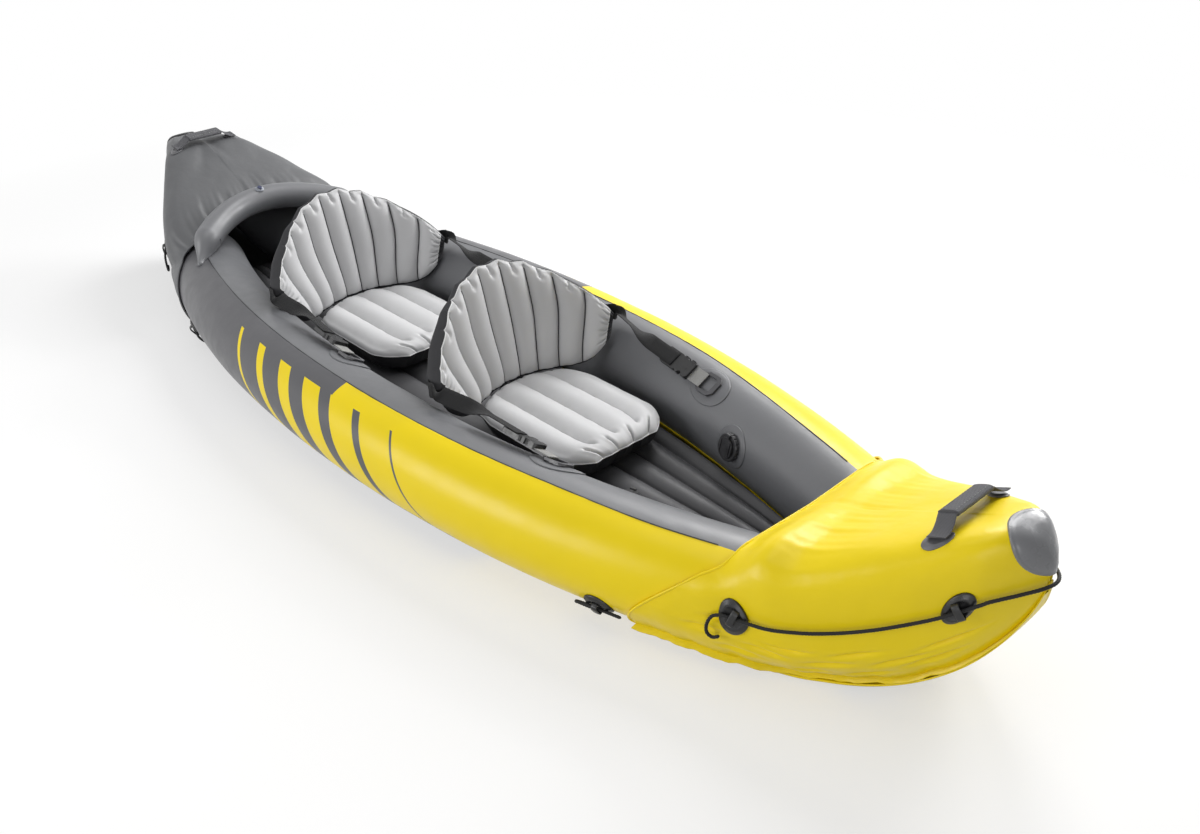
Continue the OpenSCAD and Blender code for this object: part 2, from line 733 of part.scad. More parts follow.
// Ropes: the grab line round each nose, mirrored about its tip, and the short ties on the side tubes
bow_route = [
    [1116, 287, 112], [1104, 292, 106], [1094, 296, 114], [1093, 295, 132], [1100, 289, 150],
    [1116, 282, 157], [1134, 274, 156], [1164, 265, 156], [1194, 256, 158], [1224, 244, 163],
    [1270, 224, 175], [1315, 202, 191], [1360, 179, 211], [1405, 154, 235], [1441, 133, 256],
    [1471, 114, 277], [1497, 95, 296], [1507, 86, 303], [1538, 53, 316], [1561, 24, 325]
];
bow_route_tip = [1569, 0, 328];
stern_route = [
    [1180, 256, 126], [1168, 262, 116], [1156, 268, 121], [1153, 270, 138], [1160, 267, 156],
    [1176, 258, 166], [1195, 247, 171], [1226, 229, 186], [1271, 201, 206], [1316, 173, 226],
    [1360, 147, 242], [1405, 122, 257], [1440, 104, 269], [1470, 89, 280], [1496, 74, 292],
    [1506, 68, 297], [1537, 43, 309], [1560, 21, 322]
];
stern_route_tip = [1569, 0, 327];
tie_route = [
    [905, 330, 51], [878, 337, 51], [850, 344, 51], [826, 350, 51], [808, 354, 49],
    [799, 350, 41], [799, 341, 32], [808, 333, 26], [820, 329, 25]
];
module grab_line(bow, half, tip) {
    back = [for (i = [len(half) - 1 : -1 : 0]) [half[i][0], -half[i][1], half[i][2]]];
    ends(bow) cord(concat(half, [tip], back), rope_d, 2);
}
module tie_cords(bow) { ends(bow) both_sides() cord(tie_route, rope_d, 1); }
module bow_grab_line() { color(BLACK) grab_line(true, bow_route, bow_route_tip); }
module stern_grab_line() { color(BLACK) grab_line(false, stern_route, stern_route_tip); }
module bow_tie_cords() { color(BLACK) tie_cords(true); }
module stern_tie_cords() { color(BLACK) tie_cords(false); }

// Seat cushions: a channelled top and a dark base that meet at the seam
cushion_rows = 10;
cushion_steps = 5;
seam_t = 2;
seam_gap = 0.6;
cushion_clear = 0.6;
back_clear = 1.2;
back_wrap = 110;
back_side_share = 0.45;
back_top_power = 1.6;
seam_z = floor_h + cushion_seam_h;
function cushion_half(t) =
    cushion_w / 2
    * (t > 0.8 ? sqrt(1 - 0.55 * pow((t - 0.8) / 0.2, 2)) : mix(0.93, 1, smooth(0, 0.15, t)));
function cushion_close(t) = sqrt(max(0, 1 - pow(abs(2 * t - 1), 7)));
function cushion_crest(v) = pow(abs(sin(90 * cushion_channels * (v + 1))), 0.6);
function cushion_mid(t, v, up) =
    let (y = v * cushion_half(t), rear = back_wrap * pow(2 * y / back_foot_w, 2))
    [mix(rear, cushion_l, t), y, seam_z + up];
function cushion_top(t, v) =
    cushion_mid(t, v, seam_t + cushion_crown * cushion_close(t) * cushion_crest(v));
function cushion_foot(t, v) =
    let (in = cushion_close(t) * sqrt(max(0, 1 - pow(abs(v), 8))))
    cushion_mid(mix(t, clamp(t, 0.04, 0.96), in), 0.97 * v, mix(-seam_t, floor_h + rest_gap - seam_z, in));
function cushion_ts() = [for (i = [0 : cushion_rows]) (1 - cos(180 * i / cushion_rows)) / 2];
function cushion_vs(steps) =
    let (n = cushion_channels * steps)
    [for (j = [0 : n]) 2 * j / n - 1];
module seat_place(seat_x) {
    translate([seat_x, 0, 0]) children();
}
module cushion(seat_x) {
    vs = cushion_vs(cushion_steps);
    seat_place(seat_x + hinge_d / 2 + cushion_clear) sheet(
        [for (t = cushion_ts()) [for (v = vs) cushion_top(t, v)]],
        [for (t = cushion_ts()) [for (v = vs) cushion_mid(t, v, seam_gap / 2)]]
    );
}
module cushion_base(seat_x) {
    vs = cushion_vs(2);
    seat_place(seat_x + hinge_d / 2 + cushion_clear) sheet(
        [for (t = cushion_ts()) [for (v = vs) cushion_mid(t, v, -seam_gap / 2)]],
        [for (t = cushion_ts()) [for (v = vs) cushion_foot(t, v)]]
    );
}
rear_seat_x = front_seat_x - seat_pitch;
module front_cushion() { color(LIGHT) cushion(front_seat_x); }
module rear_cushion() { color(LIGHT) cushion(rear_seat_x); }
module front_cushion_base() { color(BLACK) cushion_base(front_seat_x); }
module rear_cushion_base() { color(BLACK) cushion_base(rear_seat_x); }

// Backrests: v runs across, q up to the rounded top edge; the sides wrap forward
back_rows = 8;
back_steps = 3;
function back_line(t) = mix(back_foot_w, back_w, smooth(0, 0.6, t)) / 2;
function back_top(v) = mix(back_side_share, 1, sqrt(max(0, 1 - pow(abs(v), back_top_power))));
function back_mid(v, q) =
    let (
        t = q * back_top(v),
        y = v * back_line(t),
        up = t * back_h + hinge_d / 2 + back_clear,
        wrap = back_wrap * v * v
    )
    [wrap - up * sin(back_lean), y, seam_z + up * cos(back_lean)];
function back_normal(v, q) =
    let (
        dv = back_mid(v + 0.01, clamp(q, 0.05, 0.95)) - back_mid(v - 0.01, clamp(q, 0.05, 0.95)),
        dq = back_mid(clamp(v, -0.97, 0.97), q + 0.01) - back_mid(clamp(v, -0.97, 0.97), q - 0.01)
    )
    unit(cross(dv, dq));
function back_close(q) = sqrt(max(0, 1 - pow(abs(2 * q - 1), 6)));
function back_crest(v) = pow(abs(sin(90 * back_channels * (v + 1))), 0.6);
function back_front(v, q) =
    back_mid(v, q)
    + (seam_t + back_bulge * back_close(q) * back_crest(v)) * back_normal(v, q);
function back_rear(v, q) =
    back_mid(v, q)
    - (seam_t + back_rear_bulge * back_close(q) * sqrt(max(0, 1 - pow(abs(v), 4)))) * back_normal(v, q);
function back_vs() = let (n = back_channels * back_steps) [for (j = [0 : n]) 2 * j / n - 1];
function back_qs() = [for (i = [0 : back_rows]) (1 - cos(180 * i / back_rows)) / 2];
module backrest(seat_x) {
    vs = back_vs();
    seat_place(seat_x) sheet(
        [for (q = back_qs()) [for (v = vs) back_mid(v, q) + seam_gap / 2 * back_normal(v, q)]],
        [for (q = back_qs()) [for (v = vs) back_front(v, q)]]
    );
}
module backrest_skin(seat_x) {
    vs = back_vs();
    seat_place(seat_x) sheet(
        [for (q = back_qs()) [for (v = vs) back_rear(v, q)]],
        [for (q = back_qs()) [for (v = vs) back_mid(v, q) - seam_gap / 2 * back_normal(v, q)]]
    );
}
hinge_seam_l = 72;
module hinge_seam(seat_x) {
    translate([seat_x, 0, seam_z]) rotate([90, 0, 0])
        cylinder(d = hinge_d, h = hinge_seam_l, center = true);
}
module front_backrest() { color(LIGHT) backrest(front_seat_x); }
module rear_backrest() { color(LIGHT) backrest(rear_seat_x); }
module front_backrest_skin() { color(DARK) backrest_skin(front_seat_x); }
module rear_backrest_skin() { color(DARK) backrest_skin(rear_seat_x); }
module front_hinge_seam() { color(DARK) hinge_seam(front_seat_x); }
module rear_hinge_seam() { color(DARK) hinge_seam(rear_seat_x); }

// Seat straps: anchor plate, short webbing, side-release buckle and the long strap to the backrest
patch_t = 2;
plate_l = 60;
plate_w = 54;
plate_t = 5;
plate_bar = 8;
strap_start = 112;
front_wing_x = 88.3;
rear_wing_x = 85.2;
strap_wing_in = 24;
strap_wing_h = 118;
socket_from = 54;
socket_to = 97;
socket_w = 46;
socket_low = 2;
socket_high = 15;
tongue_to = 150;
tongue_w = 44;
prong_w = 7;
prong_l = tongue_travel - 14;
fit_gap = 0.5;
slot_under = 0.2;
slot_over = 2.4;
function anchor_normal(seat_x, side) = tube_normal(side, seat_x + anchor_x, 90 + anchor_turn);
function anchor_seat(seat_x, side) =
    tube_point(side, seat_x + anchor_x, 90 + anchor_turn)
    + (weld_gap + patch_t + rest_gap) * anchor_normal(seat_x, side);
function strap_end(seat_x, side) =
    let (wing_x = seat_x == front_seat_x ? front_wing_x : rear_wing_x)
    [seat_x + wing_x, side * (back_w / 2 - strap_wing_in), seam_z + strap_wing_h];
function strap_way(seat_x, side) = strap_end(seat_x, side) - anchor_seat(seat_x, side);
module strap_frame(seat_x, side) {
    at_frame(anchor_seat(seat_x, side), strap_way(seat_x, side), anchor_normal(seat_x, side)) children();
}
module plate_frame(seat_x, side) {
    n = anchor_normal(seat_x, side);
    way = strap_way(seat_x, side);
    at_frame(anchor_seat(seat_x, side), way - (way * n) * n, n) children();
}
module strap(seat_x, side) {
    l = norm(strap_way(seat_x, side));
    low = socket_high - 3 + fit_gap;
    color(BLACK) strap_frame(seat_x, side) slab([strap_start, l], web_w, low, low + web_t);
}
module tongue(seat_x, side) {
    top = socket_high - 3;
    mid = (socket_low + socket_high) / 2;
    color(BLACK) strap_frame(seat_x, side) {
        difference() {
            translate([(socket_to + fit_gap + tongue_to) / 2, 0, socket_low])
                linear_extrude(top - socket_low) chamfered(tongue_to - socket_to - fit_gap, tongue_w, 4);
            for (x = [socket_to + 20, socket_to + 36]) slab([x, x + 9], web_w - 2, socket_low - 1, top + 1);
        }
        for (y = [-1, 0, 1])
            translate([socket_to - prong_l, y * (tongue_w / 2 - 9) - prong_w / 2, mid - 2.5])
                cube([prong_l + 3, prong_w, 5]);
    }
}
web_first = plate_l / 2 - plate_bar - 6;
function web_low(seat_x, side) =
    plate_t + rest_gap - web_first * unit(strap_way(seat_x, side)) * anchor_normal(seat_x, side);
module socket(seat_x, side) {
    mid = (socket_low + socket_high) / 2;
    mouth_w = tongue_w - 18 + prong_w + 2 * fit_gap;
    color(BLACK) strap_frame(seat_x, side) difference() {
        translate([(socket_from + socket_to) / 2, 0, socket_low])
            linear_extrude(socket_high - socket_low) chamfered(socket_to - socket_from, socket_w, 5);
        mouth = 2.5 + fit_gap;
        slab([socket_to - prong_l - fit_gap, socket_to + 1], mouth_w, mid - mouth, mid + mouth);
        web = web_low(seat_x, side);
        slab([socket_from - 1, socket_from + 9], web_w + 1, web - slot_under, web + web_t + slot_over);
        for (k = [-1, 1])
            translate([(socket_from + socket_to) / 2 + 2, k * socket_w / 2, socket_low - 1])
                cylinder(d = 13, h = socket_high);
    }
}
module anchor_webbing(seat_x, side) {
    low = web_low(seat_x, side);
    color(SILVER) strap_frame(seat_x, side)
        slab([web_first, socket_from + 8], web_w, low, low + web_t);
}
module anchor_plate(seat_x, side) {
    color(DARK) plate_frame(seat_x, side) linear_extrude(plate_t) difference() {
        chamfered(plate_l, plate_w, 12);
        translate([2, 0]) chamfered(plate_l - 2 * plate_bar - 6, plate_w - 2 * plate_bar, 6);
    }
}
module anchor_patch(seat_x, side) {
    half_turn = 46 / tube_r * 180 / PI;
    oval_plate(
        function(u, v, off) tube_point(side, seat_x + anchor_x + u, 90 + anchor_turn + side * v, off),
        62, half_turn, weld_gap, weld_gap + patch_t, 16
    );
}
module front_port_strap() { strap(front_seat_x, 1); }
module front_starboard_strap() { strap(front_seat_x, -1); }
module rear_port_strap() { strap(rear_seat_x, 1); }
module rear_starboard_strap() { strap(rear_seat_x, -1); }
module front_port_tongue() { tongue(front_seat_x, 1); }
module front_starboard_tongue() { tongue(front_seat_x, -1); }
module rear_port_tongue() { tongue(rear_seat_x, 1); }
module rear_starboard_tongue() { tongue(rear_seat_x, -1); }
module front_sockets() { for (k = [-1, 1]) socket(front_seat_x, k); }
module rear_sockets() { for (k = [-1, 1]) socket(rear_seat_x, k); }
module front_anchor_webbing() { for (k = [-1, 1]) anchor_webbing(front_seat_x, k); }
module rear_anchor_webbing() { for (k = [-1, 1]) anchor_webbing(rear_seat_x, k); }
module front_anchor_plates() { for (k = [-1, 1]) anchor_plate(front_seat_x, k); }
module rear_anchor_plates() { for (k = [-1, 1]) anchor_plate(rear_seat_x, k); }
module anchor_weld_patches() {
    color(GREY) for (x = [front_seat_x, rear_seat_x], k = [-1, 1]) anchor_patch(x, k);
}

// Tube valves: weld flange, threaded neck, screw ring and flip cap
valve_from_anchor = 136;
valve_x = front_seat_x + anchor_x + valve_from_anchor;
valve_turn = 166;
valve_base_t = 2;
neck_d = 40;
neck_h = 12;
ring_h = 9;
cap_d = 46;
cap_t = 4;
lug_r = 2.6;
module on_side(side) {
    if (side > 0) children();
    else mirror([0, 1, 0]) children();
}
module valve_frame(side) {
    n = tube_normal(1, valve_x, valve_turn);
    o = tube_point(1, valve_x, valve_turn) + (weld_gap + valve_base_t + rest_gap) * n;
    on_side(side) at_frame(o, cross(n, tube_way(1, valve_x, valve_turn)), n) children();
}
module valve_flanges() {
    half_turn = valve_flange_d / 2 / tube_r * 180 / PI;
    color(DARK) for (k = [-1, 1])
        oval_plate(
            function(u, v, off) tube_point(k, valve_x + u, valve_turn + k * v, off),
            valve_flange_d / 2, half_turn, weld_gap, weld_gap + valve_base_t, 16
        );
}
module valve_necks() {
    color(DARK) for (k = [-1, 1]) valve_frame(k) difference() {
        cylinder(d = neck_d, h = neck_h - rest_gap);
        translate([0, 0, 2]) cylinder(d = neck_d - 10, h = neck_h);
    }
}
hinge_reach = valve_d / 2 - 2;
module valve_ring(side) {
    grips = 16;
    inner = neck_d / 2 + 0.4;
    outer = valve_d / 2;
    color(BLACK) valve_frame(side) difference() {
        translate([0, 0, rest_gap]) rotate_extrude() polygon([
            [inner, 0], [outer, 0], [outer, ring_h - 2], [outer - 2, ring_h], [inner, ring_h]
        ]);
        for (i = [0 : grips - 1])
            rotate(360 * (i + 0.5) / grips) translate([outer + 2, 0, -1]) cylinder(d = 7, h = ring_h + 3);
        translate([hinge_reach - lug_r - 1.5, -9, neck_h - lug_r - rest_gap]) cube([12, 18, 6]);
    }
}
module valve_cap(side) {
    color(BLACK) valve_frame(side) {
        difference() {
            translate([0, 0, neck_h]) cylinder(d = cap_d, h = cap_t);
            for (k = [-1, 1]) translate([-16, 13 * k - 8, neck_h + 2]) cube([32, 8 + 2 * k, cap_t]);
        }
        translate([cap_d / 2 - 4, -5, neck_h]) cube([hinge_reach - cap_d / 2 + 4, 10, 2]);
        translate([hinge_reach, -7, neck_h]) rotate([-90, 0, 0]) cylinder(r = lug_r, h = 14);
    }
}
module port_valve_ring() { valve_ring(1); }
module starboard_valve_ring() { valve_ring(-1); }
module port_valve_cap() { valve_cap(1); }
module starboard_valve_cap() { valve_cap(-1); }

// Small pinch valves on the arch and on the floor, each with a plug on a hinge
pinch_h = 5;
plug_d = 13;
plug_t = 2.4;
arch_valve_turn = 20;
floor_valve_at = [-700, -floor_reach(700) / floor_channels, floor_h];
module arch_valve_frame() {
    n = [sin(arch_valve_turn), 0, cos(arch_valve_turn)];
    o = arch_point(0) + (arch_r - rest_gap) * n;
    at_frame(o, cross([0, 1, 0], n), n) children();
}
module floor_valve_frame() {
    translate(floor_valve_at + [0, 0, rest_gap]) children();
}
module pinch_base() {
    bore = plug_d / 2 - 3;
    rotate_extrude() polygon([
        [bore, 0], [pinch_d / 2, 0], [pinch_d / 2, 1], [plug_d / 2 + 1, pinch_h], [bore, pinch_h]
    ]);
}
module pinch_plug() {
    translate([0, 0, pinch_h + 0.4]) {
        cylinder(d = plug_d, h = plug_t);
        translate([0, -2, 0]) cube([plug_d / 2 + 2, 4, 1.4]);
        translate([plug_d / 2 + 2, -3, 1.4]) rotate([-90, 0, 0]) cylinder(r = 1.4, h = 6);
    }
}
module pinch_valves() {
    color(SILVER) {
        arch_valve_frame() pinch_base();
        floor_valve_frame() pinch_base();
    }
}
module arch_valve_plug() { color(SILVER) arch_valve_frame() pinch_plug(); }
module floor_valve_plug() { color(SILVER) floor_valve_frame() pinch_plug(); }

port_side_tube();
starboard_side_tube();
bottom_sheet();
bow_bottom_panel();
stern_bottom_panel();
floor_insert();
inner_weld_strips();
bow_cover();
stern_cover();
stern_arch_tube();
bow_nose_patch();
stern_nose_patch();
bow_wear_patch();
bow_handle_anchors();
bow_handle_strap();
bow_handle_grip();
stern_handle_anchors();
stern_handle_strap();
stern_handle_grip();
bow_rope_holders();
stern_rope_holders();
bow_grab_line();
stern_grab_line();
bow_tie_cords();
stern_tie_cords();
front_cushion();
front_cushion_base();
front_backrest();
front_backrest_skin();
front_hinge_seam();
rear_cushion();
rear_cushion_base();
rear_backrest();
rear_backrest_skin();
rear_hinge_seam();
front_port_strap();
front_starboard_strap();
rear_port_strap();
rear_starboard_strap();
front_port_tongue();
front_starboard_tongue();
rear_port_tongue();
rear_starboard_tongue();
front_sockets();
rear_sockets();
front_anchor_webbing();
rear_anchor_webbing();
front_anchor_plates();
rear_anchor_plates();
anchor_weld_patches();
valve_flanges();
valve_necks();
port_valve_ring();
starboard_valve_ring();
port_valve_cap();
starboard_valve_cap();
pinch_valves();
arch_valve_plug();
floor_valve_plug();
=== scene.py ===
"""Two-person inflatable kayak: skins, seats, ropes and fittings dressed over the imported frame."""

import math
from functools import partial

import bmesh
import bpy
import numpy as np
from mathutils import Matrix, Vector


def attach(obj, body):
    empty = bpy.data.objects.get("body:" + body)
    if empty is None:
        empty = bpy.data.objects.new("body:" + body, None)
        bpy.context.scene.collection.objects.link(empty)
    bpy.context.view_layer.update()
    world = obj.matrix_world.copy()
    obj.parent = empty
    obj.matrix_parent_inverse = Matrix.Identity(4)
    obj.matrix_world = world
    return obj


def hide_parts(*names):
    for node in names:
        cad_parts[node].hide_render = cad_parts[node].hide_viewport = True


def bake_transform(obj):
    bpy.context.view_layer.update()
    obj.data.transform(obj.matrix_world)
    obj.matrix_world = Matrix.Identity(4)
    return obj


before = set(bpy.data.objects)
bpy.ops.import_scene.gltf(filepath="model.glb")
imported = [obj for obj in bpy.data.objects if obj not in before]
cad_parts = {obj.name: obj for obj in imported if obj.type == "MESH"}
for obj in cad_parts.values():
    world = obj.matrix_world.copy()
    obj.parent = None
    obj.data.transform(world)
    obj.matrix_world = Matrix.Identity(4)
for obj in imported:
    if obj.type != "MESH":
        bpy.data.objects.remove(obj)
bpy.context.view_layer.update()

# Sizes of the part's source, in millimetres; some are sums of its values
MM = 0.001
HALF_L = 1560.0
HALF_W = 455.0
TUBE_R = 115.0
TUBE_Z = 119.4
COVER_X = HALF_L - 480.0
COVER_T = 3.0
COVER_LIFT = 5.2
COVER_R = TUBE_R + COVER_LIFT
COVER_END = HALF_L - 0.5
RISE_X = HALF_L - 430.0
WEAR_X = HALF_L - 262.0
NOSE_H = 340.0
NOSE_L = 90.0
EDGE_ROLL = 30.0
RIDGE_H = 34.0
FLANGE_W = 15.0
FLANGE_DROP = 4.0
ARC_SHARE = 0.62
FLANGE_TURN = 50.0
SHOULDER_TURN = 50.0
TUBE_STOP = HALF_L - 130.0
TUBE_TIP = 45.0
ARCH_R = 38.0
ARCH_HALF_SPAN = 215.0
ARCH_Z = TUBE_Z + TUBE_R + ARCH_R - 2.6
ARCH_RISE = 38.0
FLOOR_H = 84.0
FLOOR_GROOVE = 20.0
FLOOR_CHANNELS = 6
FLOOR_L = 2240.0
FLOOR_EDGE_Z = 46.0
SEATS = {"front": 172.0, "rear": -534.0}
SEAM_Z = 140.0
CUSHION_L = 400.0
CUSHION_W = 312.0
CUSHION_CHANNELS = 4
BACK_H = 296.0
BACK_W = 566.0
BACK_FOOT_W = 392.0
BACK_LEAN = math.radians(13.0)
BACK_CHANNELS = 9
HINGE_R = 6.0
CUSHION_X = HINGE_R + 0.6
BACK_CLEAR = 1.2
BACK_WRAP = 110.0
ROPE_D = 7.0
WEB_W = 38.0
VALVE_X = 750.0
VALVE_TURN = 166.0
TIE_X = HALF_L - 710.0
TIE_TURN = -33.0

# Exponents of a cover's round section, over its widest line by end, and under it
CROWN_POWER = {True: 4.2, False: 4.6}
KEEL_POWER = 2.7

# Sizes that only the soft skins have
BACK_SOFT_FOOT_W = 452.0
CUSHION_RISE = 29.0
BACK_RISE = 28.0
BACK_BULGE = 17.0

TAU = 2 * math.pi
SIDES = ((1, "port"), (-1, "starboard"))
ENDS = (("bow", True), ("stern", False))


# Shapes of the source, on arrays
def smooth(a, b, v):
    t = np.clip((v - a) / (b - a), 0, 1)
    return t * t * (3 - 2 * t)


def mix(a, b, t):
    return a + (b - a) * t


def soft_min(a, b, k):
    h = np.clip(0.5 + 0.5 * (b - a) / k, 0, 1)
    return mix(b, a, h) - k * h * (1 - h)


def bell(distance, width):
    return np.exp(-((distance / width) ** 2))


def dome(v, power):
    """Rounded profile: 1 in the middle, 0 where v reaches 1 or -1."""
    return np.sqrt(np.maximum(0, 1 - np.abs(v) ** power))


def eased(count):
    """Places from 0 to 1, closer together towards both ends."""
    return (1 - np.cos(np.linspace(0, math.pi, count))) / 2


def signed_power(v, power):
    return np.sign(v) * np.abs(v) ** power


def to_end(bow, p):
    """Points of the bow's frame, turned to the stern where they belong there."""
    return p if bow else p * np.array([-1, 1, 1])


def plan_y(x):
    pinch = 1 - 0.26 * smooth(1100.0, HALF_L - 80, -x)
    share = np.minimum(np.abs(x), HALF_L) / (HALF_L + 20)
    return HALF_W * pinch * (1 - share**2.1) ** 0.79


def end_y(bow, x):
    return plan_y(x if bow else -x) + COVER_LIFT


def nose_round(x):
    v = np.clip((np.abs(x) - HALF_L + NOSE_L) / NOSE_L, 0, 1)
    return dome(v, 2.5)


def bottom_z(x):
    t = np.clip((np.abs(x) - RISE_X) / (HALF_L - RISE_X), 0, 1)
    return NOSE_H * (1 - np.maximum(0, 1 - t**2.4) ** 0.55)


def top_z(bow, x):
    edge, rise, crest, run = (246, 24.5, 424, 120) if bow else (330, 23, 420, 190)
    line = edge + math.tan(math.radians(rise)) * (np.abs(x) - COVER_X - EDGE_ROLL)
    v = np.clip((np.abs(x) - HALF_L + run) / run, 0, 1)
    high = soft_min(line, np.full_like(line, crest), 14.0)
    return NOSE_H + (high - NOSE_H) * dome(v, 2.5)


def side_z(bow, x):
    tall = mix(bottom_z(x), top_z(bow, x), 0.42)
    return mix(TUBE_Z, tall, smooth(COVER_X, COVER_X + 200, np.abs(x)))


def tube_full_r(x):
    return TUBE_R * (1 - 0.66 * smooth(COVER_X - 40, TUBE_STOP + 30, np.abs(x)))


def tube_y(x):
    return plan_y(x) - tube_full_r(x) - 8 * smooth(COVER_X - 40, TUBE_STOP + 30, np.abs(x))


def tube_point(side, x, turn, off=0.0):
    tip = np.sqrt(np.maximum(0.0001, 1 - np.clip((np.abs(x) - TUBE_STOP + TUBE_TIP) / TUBE_TIP, 0, 1) ** 2))
    r = tube_full_r(x) * tip + off
    z = mix(TUBE_Z, side_z(True, x), smooth(COVER_X, COVER_X + 200, np.abs(x)))
    a = np.radians(turn)
    return np.stack([x, side * (tube_y(x) + r * np.cos(a)), z + r * np.sin(a)], -1)


def edge_turn(s):
    return -FLANGE_TURN + (90 + FLANGE_TURN) * np.minimum(s / ARC_SHARE, 1)


def chord_share(s):
    return np.clip((s - ARC_SHARE) / (1 - ARC_SHARE), 0, 1)


def arch_x(y):
    return HALF_L - 540 - 86 * (y / ARCH_HALF_SPAN) ** 2


def edge_x(bow, s):
    if bow:
        return COVER_X - 165 * smooth(75.0, -40.0, edge_turn(s))
    reach = plan_y(np.array(COVER_X - 80.0)) - TUBE_R
    y = np.minimum(reach * (1 - chord_share(s)), ARCH_HALF_SPAN)
    return arch_x(y) + ARCH_R + 2 - 80 * smooth(70.0, -40.0, edge_turn(s))


def ridge(bow, x, s):
    if not bow:
        return np.zeros_like(x)
    near = bell(x - edge_x(bow, s) - 60, 45)
    return RIDGE_H * near * smooth(10.0, 90.0, edge_turn(s)) * mix(1, 0.35, chord_share(s))


def lobe_section(w, r, top, s):
    a = np.radians(edge_turn(s))
    t = chord_share(s)
    arc = s < ARC_SHARE
    crown = top - TUBE_Z - r
    y = np.where(arc, w - r + r * np.cos(a), (w - r) * (1 - t))
    z = np.where(arc, TUBE_Z + r * np.sin(a), TUBE_Z + r + crown * (1 - (1 - t) ** 2))
    return y, z


def round_section(w, low, side, top, crown, s):
    low_part = -FLANGE_TURN + (SHOULDER_TURN + FLANGE_TURN) * s / ARC_SHARE
    p = np.radians(np.where(s < ARC_SHARE, low_part, mix(SHOULDER_TURN, 90, chord_share(s))))
    e = np.where(p < 0, KEEL_POWER, crown)
    reach = (np.abs(np.cos(p)) ** e + np.abs(np.sin(p)) ** e) ** (1 / e)
    tall = np.where(p < 0, side - low, top - side)
    return w * np.cos(p) / reach, side + tall * np.sin(p) / reach


def near_side(s):
    """Place round a cover, with its other side folded onto the near one."""
    return np.where(s > 1, 2 - s, s)


def cover_point(bow, x, s):
    """Point of the cover's skin in the bow's frame; s above 1 is the other side."""
    far = s > 1
    s = near_side(s)
    swell = ridge(bow, x, s)
    w = end_y(bow, x) * nose_round(x)
    top = top_z(bow, x) + swell * nose_round(x)
    early = (80 if bow else 180) * smooth(-10.0, 60.0, edge_turn(s))
    start = COVER_X + EDGE_ROLL
    m = smooth(start, start + 160, x + early)
    ya, za = lobe_section(w + swell, COVER_R + swell, top, s)
    yb, zb = round_section(w, bottom_z(x), side_z(bow, x), top, CROWN_POWER[bow], s)
    y = mix(ya, yb, m)
    return np.stack([x, np.where(far, -y, y), mix(za, zb, m)], -1)


def unit(v):
    return v / np.maximum(np.linalg.norm(v, axis=-1, keepdims=True), 1e-9)


def cover_skin(bow, x, s, off):
    dx = cover_point(bow, x + 2, s) - cover_point(bow, x - 2, s)
    ds = cover_point(bow, x, s + 0.01) - cover_point(bow, x, s - 0.01)
    n = unit(np.cross(ds, dx))
    return to_end(bow, cover_point(bow, x, s) + np.asarray(off)[..., None] * n)


def cover_rate(bow, x, s):
    """Millimetres round the cover for each unit of s."""
    at = np.full(1, float(x))
    ahead = cover_point(bow, at, np.full(1, s + 0.01))
    behind = cover_point(bow, at, np.full(1, s - 0.01))
    return np.linalg.norm(ahead - behind) / 0.02


def tube_degrees(length):
    """Degrees that a length spans round a tube."""
    return length / TUBE_R * 180 / math.pi


# Waves without chance: sums of sines that never quite repeat
def wave(t, seed=0.0):
    return (
        np.sin(t + seed)
        + 0.6 * np.sin(1.73 * t + 1.3 + 2.1 * seed)
        + 0.4 * np.sin(2.91 * t + 0.4 + 3.7 * seed)
    ) / 2


# Mesh building
def placed(name, data):
    obj = bpy.data.objects.new(name, data)
    bpy.context.collection.objects.link(obj)
    return obj


def face_outward(mesh, weld=0.0):
    bm = bmesh.new()
    bm.from_mesh(mesh)
    if weld:
        bmesh.ops.remove_doubles(bm, verts=bm.verts, dist=weld)
    bmesh.ops.recalc_face_normals(bm, faces=bm.faces)
    bm.to_mesh(mesh)
    bm.free()


def new_object(name, points, faces, material):
    mesh = bpy.data.meshes.new(name)
    mesh.from_pydata((np.asarray(points) * MM).tolist(), [], faces)
    mesh.validate()
    face_outward(mesh, weld=0.00002)
    mesh.materials.append(material)
    mesh.polygons.foreach_set("use_smooth", [True] * len(mesh.polygons))
    return placed(name, mesh)


def grid_faces(n, m, base=0, wrap=False):
    faces = []
    for i in range(n - 1):
        row = base + i * m
        after = row + m
        for j in range(m if wrap else m - 1):
            k = (j + 1) % m
            faces.append([row + j, row + k, after + k, after + j])
    return faces


def face_middles(grid):
    return (grid[:-1, :-1] + grid[1:, 1:]) / 2


def shell(name, outer, inner, materials):
    """Closed solid between two grids of the same size; the last material takes all but the outer grid."""
    n, m = outer.shape[:2]
    k = n * m
    points = np.concatenate([outer.reshape(-1, 3), inner.reshape(-1, 3)])
    loop = list(range(m)) + [i * m + m - 1 for i in range(1, n)]
    loop += [(n - 1) * m + j for j in range(m - 2, -1, -1)] + [i * m for i in range(n - 2, 0, -1)]
    walls = [[a, b, b + k, a + k] for a, b in zip(loop, loop[1:] + loop[:1])]
    faces = grid_faces(n, m) + [f[::-1] for f in grid_faces(n, m, k)] + walls
    mesh = bpy.data.meshes.new(name)
    mesh.from_pydata((points * MM).tolist(), [], faces)
    for mat in materials:
        mesh.materials.append(mat)
    top = (n - 1) * (m - 1)
    index = [0] * top + [len(materials) - 1] * (len(faces) - top)
    mesh.polygons.foreach_set("material_index", index)
    mesh.polygons.foreach_set("use_smooth", [True] * len(faces))
    face_outward(mesh)
    return placed(name, mesh)


